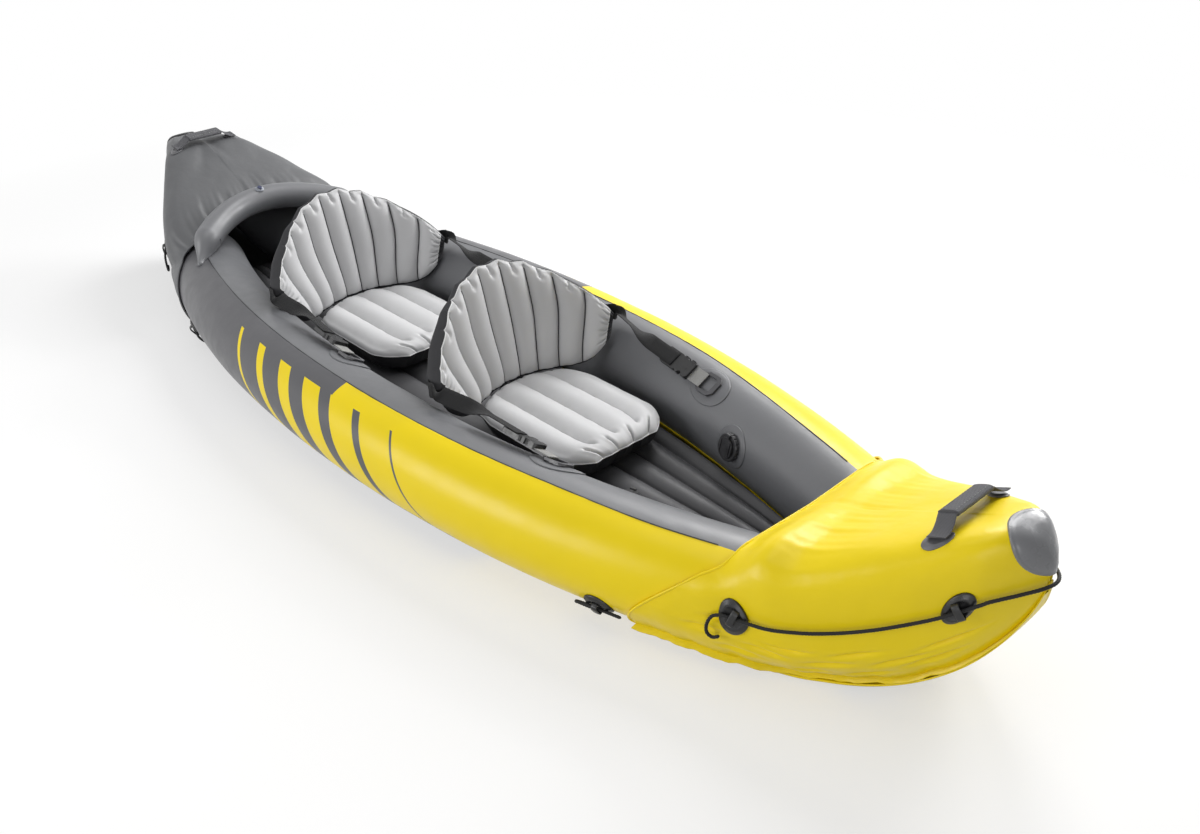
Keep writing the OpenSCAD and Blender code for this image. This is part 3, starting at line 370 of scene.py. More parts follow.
def lofted(name, rings, material):
    """Closed tube through rings of points."""
    n, m = rings.shape[:2]
    faces = grid_faces(n, m, wrap=True)
    faces.append(list(range(m))[::-1])
    faces.append([(n - 1) * m + j for j in range(m)])
    return new_object(name, rings.reshape(-1, 3), faces, material)


def path_frames(p):
    d = unit(np.gradient(p, axis=0))
    up = np.array([0.0, 0.0, 1.0]) if abs(d[0][2]) < 0.9 else np.array([1.0, 0.0, 0.0])
    ups = []
    for t in d:
        up = up - (up @ t) * t
        up = up / np.linalg.norm(up)
        ups.append(up.copy())
    ups = np.array(ups)
    return d, ups, np.cross(d, ups)


def spline(points, steps):
    p = np.asarray(points, float)
    p = np.concatenate([p[:1], p, p[-1:]])
    out = []
    for i in range(len(p) - 3):
        a, b, c, d = p[i : i + 4]
        for t in np.arange(steps) / steps:
            out.append(
                0.5
                * (2 * b + (c - a) * t + (2 * a - 5 * b + 4 * c - d) * t**2 + (3 * b - a - 3 * c + d) * t**3)
            )
    out.append(p[-2])
    return np.array(out)


def evenly(p, step):
    """The same line with its points about step apart."""
    seg = np.linalg.norm(np.diff(p, axis=0), axis=1)
    at = np.concatenate([[0], np.cumsum(seg)])
    n = max(2, int(round(at[-1] / step)) + 1)
    want = np.linspace(0, at[-1], n)
    return np.stack([np.interp(want, at, p[:, k]) for k in range(3)], -1), at[-1]


def rings_round(path, radius, angles):
    """A ring of points round each place of a path; radius is by place, or by place and angle."""
    _, u, v = path_frames(path)
    outward = np.cos(angles)[None, :, None] * u[:, None] + np.sin(angles)[None, :, None] * v[:, None]
    return path[:, None] + radius[..., None] * outward


def circle(sides):
    return np.arange(sides) / sides * TAU


def round_tube(name, path, radius, material, sides=12):
    r = np.broadcast_to(radius, (len(path),))[:, None]
    return lofted(name, rings_round(path, r, circle(sides)), material)


def ribbon(name, path, normals, width, thickness, material):
    """Flat strap along a path, its edges rounded."""
    d = unit(np.gradient(path, axis=0))
    n = unit(normals - np.sum(normals * d, -1, keepdims=True) * d)
    side = np.cross(d, n)
    h = thickness / 2
    w = width / 2
    corner = [(1, 0.0), (0.9625, 0.8), (0.55, 1.0)]
    upper = corner + [(0, 1.0)] + [(-a, b) for a, b in corner[:0:-1]]
    outline = upper + [(-a, -b) for a, b in upper]
    rings = np.stack([path + side * w * a + n * h * b for a, b in outline], 1)
    return lofted(name, rings, material)


def disc_on(name, skin, half_u, half_v, profile, material, sides=56):
    """Round piece on a surface; profile is (share of the radius, height over the skin), from the middle."""
    a = circle(sides)
    points = [skin(np.zeros(1), np.zeros(1), np.full(1, profile[0][1]))]
    for share, high in profile[1:]:
        points.append(skin(half_u * share * np.cos(a), half_v * share * np.sin(a), np.full(sides, high)))
    points = np.concatenate(points)
    faces = [[0, 1 + j, 1 + (j + 1) % sides] for j in range(sides)]
    for k in range(len(profile) - 2):
        b = 1 + k * sides
        faces += [
            [b + j, b + sides + j, b + sides + (j + 1) % sides, b + (j + 1) % sides] for j in range(sides)
        ]
    last = 1 + (len(profile) - 2) * sides
    faces.append([last + j for j in range(sides)][::-1])
    return new_object(name, points, faces, material)


def join(name, objects):
    """One object from several with the same material slots."""
    bm = bmesh.new()
    for o in objects:
        bm.from_mesh(o.data)
    mesh = bpy.data.meshes.new(name)
    bm.to_mesh(mesh)
    bm.free()
    for m in objects[0].data.materials:
        mesh.materials.append(m)
    for o in objects:
        old = o.data
        bpy.data.objects.remove(o)
        bpy.data.meshes.remove(old)
    return placed(name, mesh)


def add_attribute(obj, name, values):
    attribute = obj.data.attributes.new(name, "FLOAT", "POINT")
    attribute.data.foreach_set("value", np.asarray(values, np.float32))


def thicken(obj, depth):
    mod = obj.modifiers.new("skin", "SOLIDIFY")
    mod.thickness = depth * MM
    mod.offset = -1.0
    mod.use_even_offset = False


# Materials
def srgb(r, g, b):
    def one(c):
        c = c / 255
        return c / 12.92 if c <= 0.04045 else ((c + 0.055) / 1.055) ** 2.4

    return (one(r), one(g), one(b), 1.0)


def put(node, values):
    """Set a node's inputs by name."""
    for key, value in values.items():
        node.inputs[key].default_value = value


def feed(tree, socket, value):
    """Give a socket a constant, or another node's output."""
    if isinstance(value, (int, float, tuple)):
        socket.default_value = value
    else:
        tree.links.new(value, socket)


def material(name, colour, rough):
    mat = bpy.data.materials.new(name)
    mat.use_nodes = True
    shader = mat.node_tree.nodes["Principled BSDF"]
    put(shader, {"Base Color": colour, "Roughness": rough})
    return mat, mat.node_tree, shader


def object_space(tree):
    return tree.nodes.new("ShaderNodeTexCoord").outputs["Object"]


def noise_node(tree, vector, scale, detail=3.0):
    node = tree.nodes.new("ShaderNodeTexNoise")
    put(node, {"Scale": scale, "Detail": detail})
    feed(tree, node.inputs["Vector"], vector)
    return node.outputs["Fac"]


def ranged(tree, value, low, high, to_low, to_high):
    node = tree.nodes.new("ShaderNodeMapRange")
    put(node, {"From Min": low, "From Max": high, "To Min": to_low, "To Max": to_high})
    feed(tree, node.inputs["Value"], value)
    return node.outputs["Result"]


def math_node(tree, operation, *values):
    node = tree.nodes.new("ShaderNodeMath")
    node.operation = operation
    for socket, value in zip(node.inputs, values):
        feed(tree, socket, value)
    return node.outputs["Value"]


def mix_colour(tree, share, a, b):
    node = tree.nodes.new("ShaderNodeMix")
    node.data_type = "RGBA"
    feed(tree, node.inputs["Factor"], share)
    feed(tree, node.inputs[6], a)
    feed(tree, node.inputs[7], b)
    return node.outputs[2]


def bump_into(tree, shader, height, strength, distance):
    node = tree.nodes.new("ShaderNodeBump")
    put(node, {"Strength": strength, "Distance": distance})
    feed(tree, node.inputs["Height"], height)
    feed(tree, shader.inputs["Normal"], node.outputs["Normal"])


def shaded(colour, factor):
    return tuple(min(1.0, c * factor) for c in colour[:3]) + (1.0,)


def mottled(tree, share, colour, low, high):
    """A colour that goes between a darker and a lighter shade of itself."""
    return mix_colour(tree, share, shaded(colour, low), shaded(colour, high))


def vinyl(name, colour, rough=0.38, creases=0.35, coat=0.15, shine=0.36):
    """Coated vinyl: faint mottling, a gloss that wanders and shallow creases."""
    mat, tree, shader = material(name, colour, rough)
    vector = object_space(tree)
    mottle = noise_node(tree, vector, 7.0)
    feed(tree, shader.inputs["Base Color"], mottled(tree, mottle, colour, 0.93, 1.06))
    gloss = noise_node(tree, vector, 22.0)
    feed(tree, shader.inputs["Roughness"], ranged(tree, gloss, 0.3, 0.7, rough - 0.06, rough + 0.07))
    broad = noise_node(tree, vector, 26.0, 2.0)
    fine = noise_node(tree, vector, 900.0, 1.0)
    height = math_node(tree, "ADD", broad, math_node(tree, "MULTIPLY", fine, 0.06))
    bump_into(tree, shader, height, creases, 0.003)
    put(shader, {"Coat Weight": coat, "Coat Roughness": 0.42, "Specular IOR Level": shine})
    return mat


def webbing(name, colour, along_x=True):
    """Woven strap: ribs across its length and a fine weave."""
    mat, tree, shader = material(name, colour, 0.75)
    vector = object_space(tree)
    weave = tree.nodes.new("ShaderNodeTexWave")
    weave.bands_direction = "X" if along_x else "Y"
    put(weave, {"Scale": 260.0, "Distortion": 0.6})
    feed(tree, weave.inputs["Vector"], vector)
    cross = tree.nodes.new("ShaderNodeTexWave")
    cross.bands_direction = "DIAGONAL"
    put(cross, {"Scale": 170.0})
    feed(tree, cross.inputs["Vector"], vector)
    both = math_node(tree, "ADD", weave.outputs["Fac"], cross.outputs["Fac"])
    share = ranged(tree, both, 0.0, 2.0, 0.0, 1.0)
    feed(tree, shader.inputs["Base Color"], mottled(tree, share, colour, 0.6, 1.45))
    bump_into(tree, shader, both, 0.5, 0.0006)
    put(shader, {"Specular IOR Level": 0.25, "Sheen Weight": 0.05, "Sheen Roughness": 0.4})
    return mat


def moulded(name, colour, rough=0.42):
    """Moulded plastic with a fine spark-eroded grain and duller patches."""
    mat, tree, shader = material(name, colour, rough)
    vector = object_space(tree)
    wear = noise_node(tree, vector, 60.0)
    feed(tree, shader.inputs["Base Color"], mottled(tree, wear, colour, 0.85, 1.3))
    feed(tree, shader.inputs["Roughness"], ranged(tree, wear, 0.3, 0.7, rough - 0.08, rough + 0.1))
    grain = noise_node(tree, vector, 1600.0, 1.0)
    bump_into(tree, shader, grain, 0.25, 0.0004)
    return mat


def rope_material(name, colour):
    mat, tree, shader = material(name, colour, 0.7)
    fibre = noise_node(tree, object_space(tree), 1400.0, 2.0)
    feed(tree, shader.inputs["Base Color"], mottled(tree, fibre, colour, 0.6, 1.9))
    bump_into(tree, shader, fibre, 0.4, 0.0006)
    put(shader, {"Specular IOR Level": 0.3, "Sheen Weight": 0.05})
    return mat


YELLOW_COLOUR = srgb(244, 216, 6)
STERN_GREY = srgb(92, 93, 95)
INNER_GREY = srgb(104, 105, 108)
PRINT_GREY = srgb(88, 88, 91)
SEAT_GREY = srgb(201, 201, 202)
DARK = srgb(52, 52, 54)
BLACK = srgb(26, 26, 28)

YELLOW = vinyl("yellow_vinyl", YELLOW_COLOUR, 0.36, 0.3, 0.04)
BOW_YELLOW = vinyl("bow_cover_vinyl", YELLOW_COLOUR, 0.37, 0.55, 0.05)
GREY = vinyl("grey_vinyl", STERN_GREY, 0.42, 0.35)
STERN_VINYL = vinyl("stern_cover_vinyl", STERN_GREY, 0.52, 0.6, 0.08)
INNER = vinyl("inner_tube_vinyl", INNER_GREY, 0.42, 0.25, 0.3, 0.5)
FLOOR_VINYL = vinyl("floor_vinyl", srgb(80, 80, 82), 0.5, 0.35, 0.05)
DARK_VINYL = vinyl("dark_vinyl", DARK, 0.45, 0.35)
BLACK_VINYL = vinyl("black_vinyl", BLACK, 0.45, 0.35)
SEAT = vinyl("seat_vinyl", SEAT_GREY, 0.52, 0.4, 0.02)
# Darker grey for the backrest's weld lines: painted shade of the deep valleys between the channels
SEAT_WELD_SHADE = vinyl("seat_weld_painted_shade", srgb(102, 102, 104), 0.55, 0.3, 0.0)
PIPING = vinyl("seat_seam_vinyl", srgb(226, 226, 226), 0.4, 0.2, 0.1)
PATCH = vinyl("weld_patch_vinyl", srgb(104, 105, 108), 0.4, 0.3)
GUSSET = vinyl("seat_side_vinyl", srgb(60, 60, 62), 0.66, 0.45, 0.0, 0.12)
NOSE = vinyl("nose_patch_vinyl", srgb(112, 113, 116), 0.26, 0.25, 0.5)
STRAP_BLACK = webbing("black_webbing", srgb(26, 26, 27))
HANDLE_WEB = webbing("handle_webbing", srgb(92, 92, 95), False)
SILVER_WEB = webbing("silver_webbing", srgb(150, 150, 148))
PLASTIC = moulded("black_plastic", srgb(19, 19, 20), 0.34)
PLATE = moulded("anchor_plastic", srgb(66, 66, 69), 0.38)
TAB = moulded("handle_tab_plastic", srgb(94, 94, 97), 0.36)
VALVE = moulded("valve_ring_plastic", srgb(46, 46, 48), 0.36)
PLUG_BLUE = moulded("valve_plug_plastic", srgb(52, 58, 86), 0.22)
CLEAR_GREY = moulded("valve_plastic", srgb(140, 144, 152), 0.25)
ROPE = rope_material("twisted_rope", srgb(20, 20, 21))


# Printed stripes: pitch and reach along the hull, lean per degree, their edges in degrees, the border's start
STRIPE_PITCH = 118.0
STRIPE_REACH = 420.0
STRIPE_LEAN = 1.6
STRIPE_LOW = -34.0
STRIPE_HIGH = 58.0
BORDER_X = 30.0


def tube_material():
    """Outer skin of the tubes: yellow ahead, grey astern, and slanted stripes where the two meet."""
    mat, tree, shader = material("tube_vinyl", YELLOW_COLOUR, 0.36)
    vector = object_space(tree)

    def attribute(name):
        node = tree.nodes.new("ShaderNodeAttribute")
        node.attribute_name = name
        return node.outputs["Fac"]

    over = partial(math_node, tree, "GREATER_THAN")
    under = partial(math_node, tree, "LESS_THAN")
    both = partial(math_node, tree, "MULTIPLY")
    either = partial(math_node, tree, "MAXIMUM")
    along = attribute("along")
    turn = attribute("turn")
    slanted = math_node(tree, "ADD", along, both(turn, STRIPE_LEAN))
    step = math_node(tree, "FRACT", math_node(tree, "DIVIDE", slanted, STRIPE_PITCH))
    fill = ranged(tree, slanted, -STRIPE_REACH, STRIPE_REACH, 0.04, 1.02)
    stripe = under(step, fill)
    inside = over(slanted, -STRIPE_REACH)
    low = over(turn, STRIPE_LOW)
    high = under(turn, STRIPE_HIGH)
    ahead = over(slanted, STRIPE_REACH)
    border = over(along, BORDER_X)
    border = both(border, over(turn, STRIPE_HIGH))
    band = both(both(both(stripe, inside), low), high)
    print_share = either(either(band, ahead), border)
    mottle = noise_node(tree, vector, 7.0)
    yellow = mottled(tree, mottle, YELLOW_COLOUR, 0.94, 1.05)
    grey = mottled(tree, mottle, PRINT_GREY, 0.92, 1.08)
    feed(tree, shader.inputs["Base Color"], mix_colour(tree, print_share, grey, yellow))
    gloss = noise_node(tree, vector, 22.0)
    feed(tree, shader.inputs["Roughness"], ranged(tree, gloss, 0.3, 0.7, 0.3, 0.42))
    bump_into(tree, shader, noise_node(tree, vector, 22.0, 2.0), 0.25, 0.003)
    put(shader, {"Specular IOR Level": 0.32, "Coat Weight": 0.04, "Coat Roughness": 0.22})
    return mat


TUBE_PRINT = tube_material()


def dress(obj, body, slot, *nodes):
    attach(obj, body)
    if nodes:
        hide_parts(*nodes)


def finish_node(name, mat, width):
    """Give a rigid piece's own solid its finish, with softened edges where width isn't 0."""
    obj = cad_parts[name]
    obj.data.materials.clear()
    obj.data.materials.append(mat)
    if width:
        mod = obj.modifiers.new("edges", "BEVEL")
        mod.width = width * MM
        mod.segments = 2
        mod.limit_method = "ANGLE"
        mod.angle_limit = math.radians(35)
        mod.use_clamp_overlap = True


# Camera and light
def make_camera():
    data = bpy.data.cameras.new("photo_view")
    data.sensor_width = 36.0
    data.sensor_fit = "HORIZONTAL"
    data.lens = 34.81
    data.shift_x = -0.0193
    data.shift_y = -0.0156
    data.clip_end = 100.0
    place = Vector((2.162, -1.467, 1.518))
    ahead = Vector((-0.636, 0.586, -0.5025)).normalized()
    right = ahead.cross(Vector((0, 0, 1))).normalized()
    up = right.cross(ahead)
    roll = -0.02723
    right_now = right * math.cos(roll) + up * math.sin(roll)
    up_now = up * math.cos(roll) - right * math.sin(roll)
    turn = Matrix((right_now, up_now, -ahead)).transposed().to_4x4()
    camera = placed("photo_view", data)
    camera.matrix_world = Matrix.Translation(place) @ turn
    bpy.context.scene.camera = camera


def area_light(name, place, aim, size, power):
    data = bpy.data.lights.new(name, "AREA")
    data.shape = "RECTANGLE"
    data.size, data.size_y = size
    data.energy = power
    light = placed(name, data)
    light.location = place
    light.rotation_euler = (Vector(aim) - Vector(place)).to_track_quat("-Z", "Y").to_euler()


def seen_directly(tree):
    """1 for rays that show the backdrop to the eye, straight, mirrored or through something clear."""
    rays = tree.nodes.new("ShaderNodeLightPath").outputs
    seen = math_node(tree, "MAXIMUM", rays["Is Camera Ray"], rays["Is Glossy Ray"])
    return math_node(tree, "MAXIMUM", seen, rays["Is Transmission Ray"])


WHITE = (1.0, 1.0, 1.0, 1.0)
FLOOR_GREY = (0.6, 0.6, 0.6, 1.0)
FLOOR_HALF = 30.0
FLOOR_Z = -0.001


def make_world():
    scene = bpy.context.scene
    scene.view_settings.view_transform = "Standard"
    world = scene.world or bpy.data.worlds.new("studio")
    scene.world = world
    world.use_nodes = True
    tree = world.node_tree
    back = tree.nodes["Background"]
    put(back, {"Color": WHITE})
    feed(tree, back.inputs["Strength"], ranged(tree, seen_directly(tree), 0.0, 1.0, 0.16, 1.0))


def make_lights():
    area_light("key", (-1.1, 2.9, 3.3), (0.2, -0.1, 0.1), (1.8, 1.8), 112)
    area_light("side", (-1.5, -4.0, 1.6), (0.1, 0.0, 0.1), (3.0, 1.6), 98)
    area_light("far", (0.9, 3.5, 2.0), (0.2, 0.0, 0.2), (2.0, 1.4), 112)
    area_light("front", (3.4, -2.6, 1.1), (1.2, -0.2, 0.2), (1.8, 1.4), 26)
    area_light("top", (0.1, 0.0, 4.2), (0.0, 0.0, 0.0), (3.6, 1.6), 36)


def make_floor():
    floor_mat, tree, shader = material("studio_floor", FLOOR_GREY, 0.95)
    put(shader, {"Specular IOR Level": 0.0})
    glow = tree.nodes.new("ShaderNodeEmission")
    put(glow, {"Color": WHITE})
    away = tree.nodes.new("ShaderNodeVectorMath")
    away.operation = "LENGTH"
    feed(tree, away.inputs[0], object_space(tree))
    spread = ranged(tree, away.outputs["Value"], 1.8, 2.9, 0.55, 1.0)
    seen = seen_directly(tree)
    feed(tree, shader.inputs["Base Color"], mix_colour(tree, seen, FLOOR_GREY, WHITE))
    share = math_node(tree, "MULTIPLY", spread, seen)
    blend = tree.nodes.new("ShaderNodeMixShader")
    feed(tree, blend.inputs["Fac"], share)
    feed(tree, blend.inputs[1], shader.outputs["BSDF"])
    feed(tree, blend.inputs[2], glow.outputs["Emission"])
    feed(tree, tree.nodes["Material Output"].inputs["Surface"], blend.outputs["Shader"])
    mesh = bpy.data.meshes.new("studio_floor")
    corners = [(-1, -1), (1, -1), (1, 1), (-1, 1)]
    mesh.from_pydata([(FLOOR_HALF * x, FLOOR_HALF * y, FLOOR_Z) for x, y in corners], [], [(0, 1, 2, 3)])
    mesh.materials.append(floor_mat)
    placed("studio_floor", mesh)


make_camera()
make_world()
make_lights()
make_floor()

# Ropes: the source's own points, as twisted three-strand cord
BOW_ROUTE = [
    (1116, 287, 112), (1104, 292, 106), (1094, 296, 114), (1093, 295, 132), (1100, 289, 150),
    (1116, 282, 157), (1134, 274, 156), (1164, 265, 156), (1194, 256, 158), (1224, 244, 163),
    (1270, 224, 175), (1315, 202, 191), (1360, 179, 211), (1405, 154, 235), (1441, 133, 256),
    (1471, 114, 277), (1497, 95, 296), (1507, 86, 303), (1538, 53, 316), (1561, 24, 325),
]
BOW_TIP = (1569, 0, 328)
STERN_ROUTE = [
    (1180, 256, 126), (1168, 262, 116), (1156, 268, 121), (1153, 270, 138), (1160, 267, 156),
    (1176, 258, 166), (1195, 247, 171), (1226, 229, 186), (1271, 201, 206), (1316, 173, 226),
    (1360, 147, 242), (1405, 122, 257), (1440, 104, 269), (1470, 89, 280), (1496, 74, 292),
    (1506, 68, 297), (1537, 43, 309), (1560, 21, 322),
]
STERN_TIP = (1569, 0, 327)
TIE_ROUTE = [
    (905, 330, 51), (878, 337, 51), (850, 344, 51), (826, 350, 51), (808, 354, 49),
    (799, 350, 41), (799, 341, 32), (808, 333, 26), (820, 329, 25),
]

# Length of one turn of the strands
ROPE_LAY = 17.0


def add_cord(name, points, node):
    """Three strands laid round each other, as one closed skin along the points."""
    path, length = evenly(spline(points, 12), 1.6)
    a = circle(15)
    at = np.linspace(0, length, len(path))
    lobe = 1 - 0.2 * (1 - np.abs(np.cos(1.5 * (a[None] - TAU * at[:, None] / ROPE_LAY)))) ** 0.8
    taper = np.minimum(1, 0.55 + np.minimum(at, length - at) / 6)
    obj = lofted(name, rings_round(path, ROPE_D / 2 * lobe * taper[:, None], a), ROPE)
    dress(obj, "hull", "rope", node)


def add_ropes():
    routes = {"bow": BOW_ROUTE + [BOW_TIP], "stern": STERN_ROUTE + [STERN_TIP]}
    for end, bow in ENDS:
        way = 1 if bow else -1
        half = routes[end]
        whole = half + [(x, -y, z) for x, y, z in half[-2::-1]]
        add_cord(f"{end}_grab_rope", [(way * x, y, z) for x, y, z in whole], f"{end}_grab_line")
        for side, name in SIDES:
            points = [(way * x, side * y, z) for x, y, z in TIE_ROUTE]
            add_cord(f"{end}_{name}_tie_rope", points, f"{end}_tie_cords")


add_ropes()


# Inflated hull: tubes, bottom, floor and arch
def seam_turn(side, x):
    """Where the printed skin meets the inner panel, in degrees round the tube."""
    if side > 0:
        return 86.5 + 9 * smooth(450.0, 950.0, x)
    return 80.0 - 4 * smooth(650.0, 950.0, x)


def turn_at(side, p):
    """Degrees round the tube at which points lie."""
    return np.degrees(np.arctan2(p[:, 2] - TUBE_Z, side * p[:, 1] - tube_y(p[:, 0])))


def add_tubes():
    stations = TUBE_STOP * np.sin(np.linspace(-90, 90, 181) * math.pi / 180)
    ahead = np.linspace(0, 1, 52)
    behind = np.linspace(0, 1, 48)[1:]
    for side, name in SIDES:
        seam = seam_turn(side, stations)[:, None]
        turn = np.concatenate([mix(-90.0, seam, ahead[None]), mix(seam, 266.0, behind[None])], 1)
        x = np.broadcast_to(stations[:, None], turn.shape)
        lap = bell(turn - seam, 2.2)
        pucker = bell(turn - seam, 9.0) * wave(x / 13.0)
        off = 0.9 * lap + 0.45 * pucker + 0.5 * wave(x / 90.0 + turn / 40.0, 2.0)
        off = off * smooth(COVER_X - 150, COVER_X - 320, np.abs(x))
        rings = tube_point(side, x, turn, off)
        obj = lofted(f"{name}_tube_skin", rings, TUBE_PRINT)
        place = np.array([v.co for v in obj.data.vertices]) / MM
        add_attribute(obj, "along", place[:, 0])
        add_attribute(obj, "turn", turn_at(side, place))
        obj.data.materials.append(INNER)
        centres = np.array([p.center for p in obj.data.polygons]) / MM
        a = turn_at(side, centres)
        inner = (a > seam_turn(side, centres[:, 0])) | (a < -92)
        obj.data.polygons.foreach_set("material_index", inner.astype(np.int32))
        dress(obj, "hull", "tube_vinyl", f"{name}_side_tube")
        line_x = np.linspace(-COVER_X + 40, COVER_X - 40, 260)
        line = tube_point(side, line_x, seam_turn(side, line_x) + 0.7, 0.6)
        piping = round_tube(f"{name}_seam_line", line, 1.2, BLACK_VINYL, 8)
        dress(piping, "hull", "dark_vinyl")


# Rising panel: thickness, gap to the cover's flange, and the length over which its own flange comes out
PANEL_T = 4.0
PANEL_GAP = 1.6
FLANGE_RUN = 110.0


def panel_point(bow, x, v, up):
    root = cover_point(bow, x, np.zeros_like(x))
    n = nose_round(x)
    reach = root[..., 1] + FLANGE_W * n * smooth(RISE_X, RISE_X + FLANGE_RUN, x)
    edge = root[..., 2] - (FLANGE_DROP + COVER_T + PANEL_GAP + PANEL_T) * n
    low = bottom_z(x)
    z = mix(low, np.maximum(edge, low), np.abs(v) ** 3) + up * n
    return to_end(bow, np.stack([x, v * reach, z], -1))


def add_bottom():
    stations = mix(RISE_X + 0.4, HALF_L - 4, np.sin(np.linspace(0, math.pi / 2, 60)))
    x, v = np.meshgrid(stations, np.linspace(-1, 1, 61), indexing="ij")
    finishes = {"bow": (YELLOW, "yellow_vinyl"), "stern": (GREY, "grey_vinyl")}
    for end, bow in ENDS:
        mat, slot = finishes[end]
        obj = shell(f"{end}_bottom_skin", panel_point(bow, x, v, PANEL_T), panel_point(bow, x, v, 0.0), [mat])
        dress(obj, "hull", slot, f"{end}_bottom_panel")

    def under_bow(u, v, off):
        return panel_point(True, WEAR_X + u, v, -off)

    profile = [(0, 3.2), (0.5, 3.2), (0.86, 3.1), (0.95, 2.6), (1, 1.4), (1, 0.2)]
    wear = disc_on("bow_wear_pad", under_bow, 62, 0.9, profile, DARK_VINYL)
    dress(wear, "hull", "dark_vinyl", "bow_wear_patch")
    finish_node("bottom_sheet", YELLOW, 0)


# Weld strips beside the floor: reach along the hull, and in degrees round the tube
WELD_X = (300, 1000)
WELD_TURN = (205, 219)


def floor_reach(x):
    return tube_y(x) - math.sqrt(TUBE_R**2 - (TUBE_Z - FLOOR_EDGE_Z) ** 2) - 8


def floor_round(x):
    v = np.clip((np.abs(x) - FLOOR_L / 2 + 90) / 90, 0, 1)
    return dome(v, 2)


def add_floor():
    stations = FLOOR_L / 2 * np.sin(np.linspace(-90, 90, 141) * math.pi / 180)
    x, v = np.meshgrid(stations, np.linspace(-1, 1, 145), indexing="ij")
    crown = np.sqrt(np.abs(np.sin(math.pi / 2 * FLOOR_CHANNELS * (v + 1))))
    near = (1 - crown) ** 2
    side = smooth(1.0, 0.82, np.abs(v))
    ripple = 1.6 * near * wave(x / 11.0, 1.0) + 0.8 * wave(x / 60.0 + v * 3, 4.0)
    high = mix(FLOOR_H - FLOOR_GROOVE, FLOOR_H - 1.0, crown) + ripple * 0.7
    z = mix(FLOOR_EDGE_Z, high, side)
    ends = floor_round(x)
    y = v * floor_reach(x) * mix(0.7, 1, ends)
    top = np.stack([x, y, mix(FLOOR_EDGE_Z, z, ends)], -1)
    under = np.stack([x, y * 0.86, np.full_like(x, 4.4)], -1)
    obj = shell("floor_skin", top, under, [FLOOR_VINYL])
    dress(obj, "hull", "dark_vinyl", "floor_insert")
    xs, turn = np.meshgrid(np.linspace(*WELD_X, 90), np.linspace(*WELD_TURN, 9), indexing="ij")
    for side, name in SIDES:
        lap = 2.9 + 0.7 * wave(xs / 17.0, side)
        outer = tube_point(side, xs, turn, lap)
        inner = tube_point(side, xs, turn, np.full_like(xs, 0.4))
        strip = shell(f"{name}_weld_strip", outer, inner, [YELLOW])
        dress(strip, "hull", "yellow_vinyl", "inner_weld_strips")


# How far the arch's tapered feet run out over the tubes
ARCH_FOOT = 66.0


def add_arch():
    y = ARCH_HALF_SPAN * np.sin(np.linspace(-90, 90, 97) * math.pi / 180)
    path = np.stack([-arch_x(y), y, ARCH_Z + ARCH_RISE * (1 - (y / ARCH_HALF_SPAN) ** 2)], -1)
    reach = np.linspace(0, 1, 12)[1:]
    cap_r = (ARCH_R - 0.6) * (1 - 0.8 * smooth(0.0, 1.0, reach))
    cap_y = ARCH_HALF_SPAN + ARCH_FOOT * reach
    cap_x = -arch_x(cap_y)
    over_tube = TUBE_R + cap_r * (1 - 0.75 * reach) - 2.0
    cap_z = TUBE_Z + np.sqrt(over_tube**2 - (cap_y - tube_y(cap_x)) ** 2)
    cap = np.stack([cap_x, cap_y, cap_z], -1)
    whole = np.concatenate([cap[::-1] * np.array([1, -1, 1]), path, cap])
    radius = np.concatenate([cap_r[::-1], np.full(len(path), ARCH_R - 0.6), cap_r])
    obj = round_tube("stern_arch_skin", whole, radius, INNER, 40)
    dress(obj, "hull", "tube_vinyl", "stern_arch_tube")


add_tubes()
add_bottom()
add_floor()
add_arch()


# Covers over the ends; the creases lie along the lower side of the bow
BOW_CREASES = [(1075, 0.2), (1140, 0.13), (1185, 0.19), (1250, 0.11), (1290, 0.18), (1345, 0.1), (1395, 0.17)]
BOW_CREASES += [(1105, 0.26), (1225, 0.25), (1330, 0.24), (1440, 0.13), (1460, 0.22)]

# Each cover's greatest width and length, and its flat area, read off the modelled surface
COVER_CUT = {"bow": ((1.12, 0.85), 0.52), "stern": ((1.17, 0.86), 0.60)}


def cover_folds(bow, x, sg, tg):
    """Height of a cover's ruffles, creases and pleats over its plain skin."""
    fold = near_side(sg)
    far_in = x - edge_x(bow, fold)
    hand = np.where(sg > 1, -1.0, 1.0)
    body = smooth(COVER_END, COVER_END - 160, x) * smooth(0.0, 0.08, tg)
    hem = bell(fold, 0.11)
    off = 2.6 * hem * wave(x / 12.0 + 5 * fold, hand) * body
    off += 1.3 * wave(x / 46.0 + 9 * fold, 3.0 + hand) * body
    if bow:
        gather = bell(far_in - 130, 60) * smooth(40.0, 90.0, edge_turn(fold))
        off += 1.6 * gather * wave(sg * 48.0, 1.0)
        for crease_x, crease_s in BOW_CREASES:
            across = bell(fold - crease_s - 0.00012 * (x - crease_x), 0.012)
            off -= 7.0 * bell(x - crease_x, 30.0) * across
        off += 1.2 * bell(far_in, 26) * wave(sg * 34.0, 2.0)
    else:
        upper = smooth(45.0, 90.0, edge_turn(fold))
        pleat = bell(far_in, 62.0 + 30 * wave(sg * 9.0, 2.0)) * upper
        off += 4.2 * pleat * wave(sg * 58.0 + far_in / 70.0, 0.5) - 3.0 * pleat
        dents = wave(x / 58.0 + 2.0 * wave(sg * 7.0, 4.0), 1.0) * wave(sg * 11.0 + x / 150.0, 2.0)
        off += 5.5 * dents * upper * body * smooth(0.0, 120.0, far_in)
        crease = bell(fold - 0.52 - 0.0002 * far_in, 0.03) * smooth(60.0, 160.0, far_in)
        off += 3.0 * crease * body
    return off


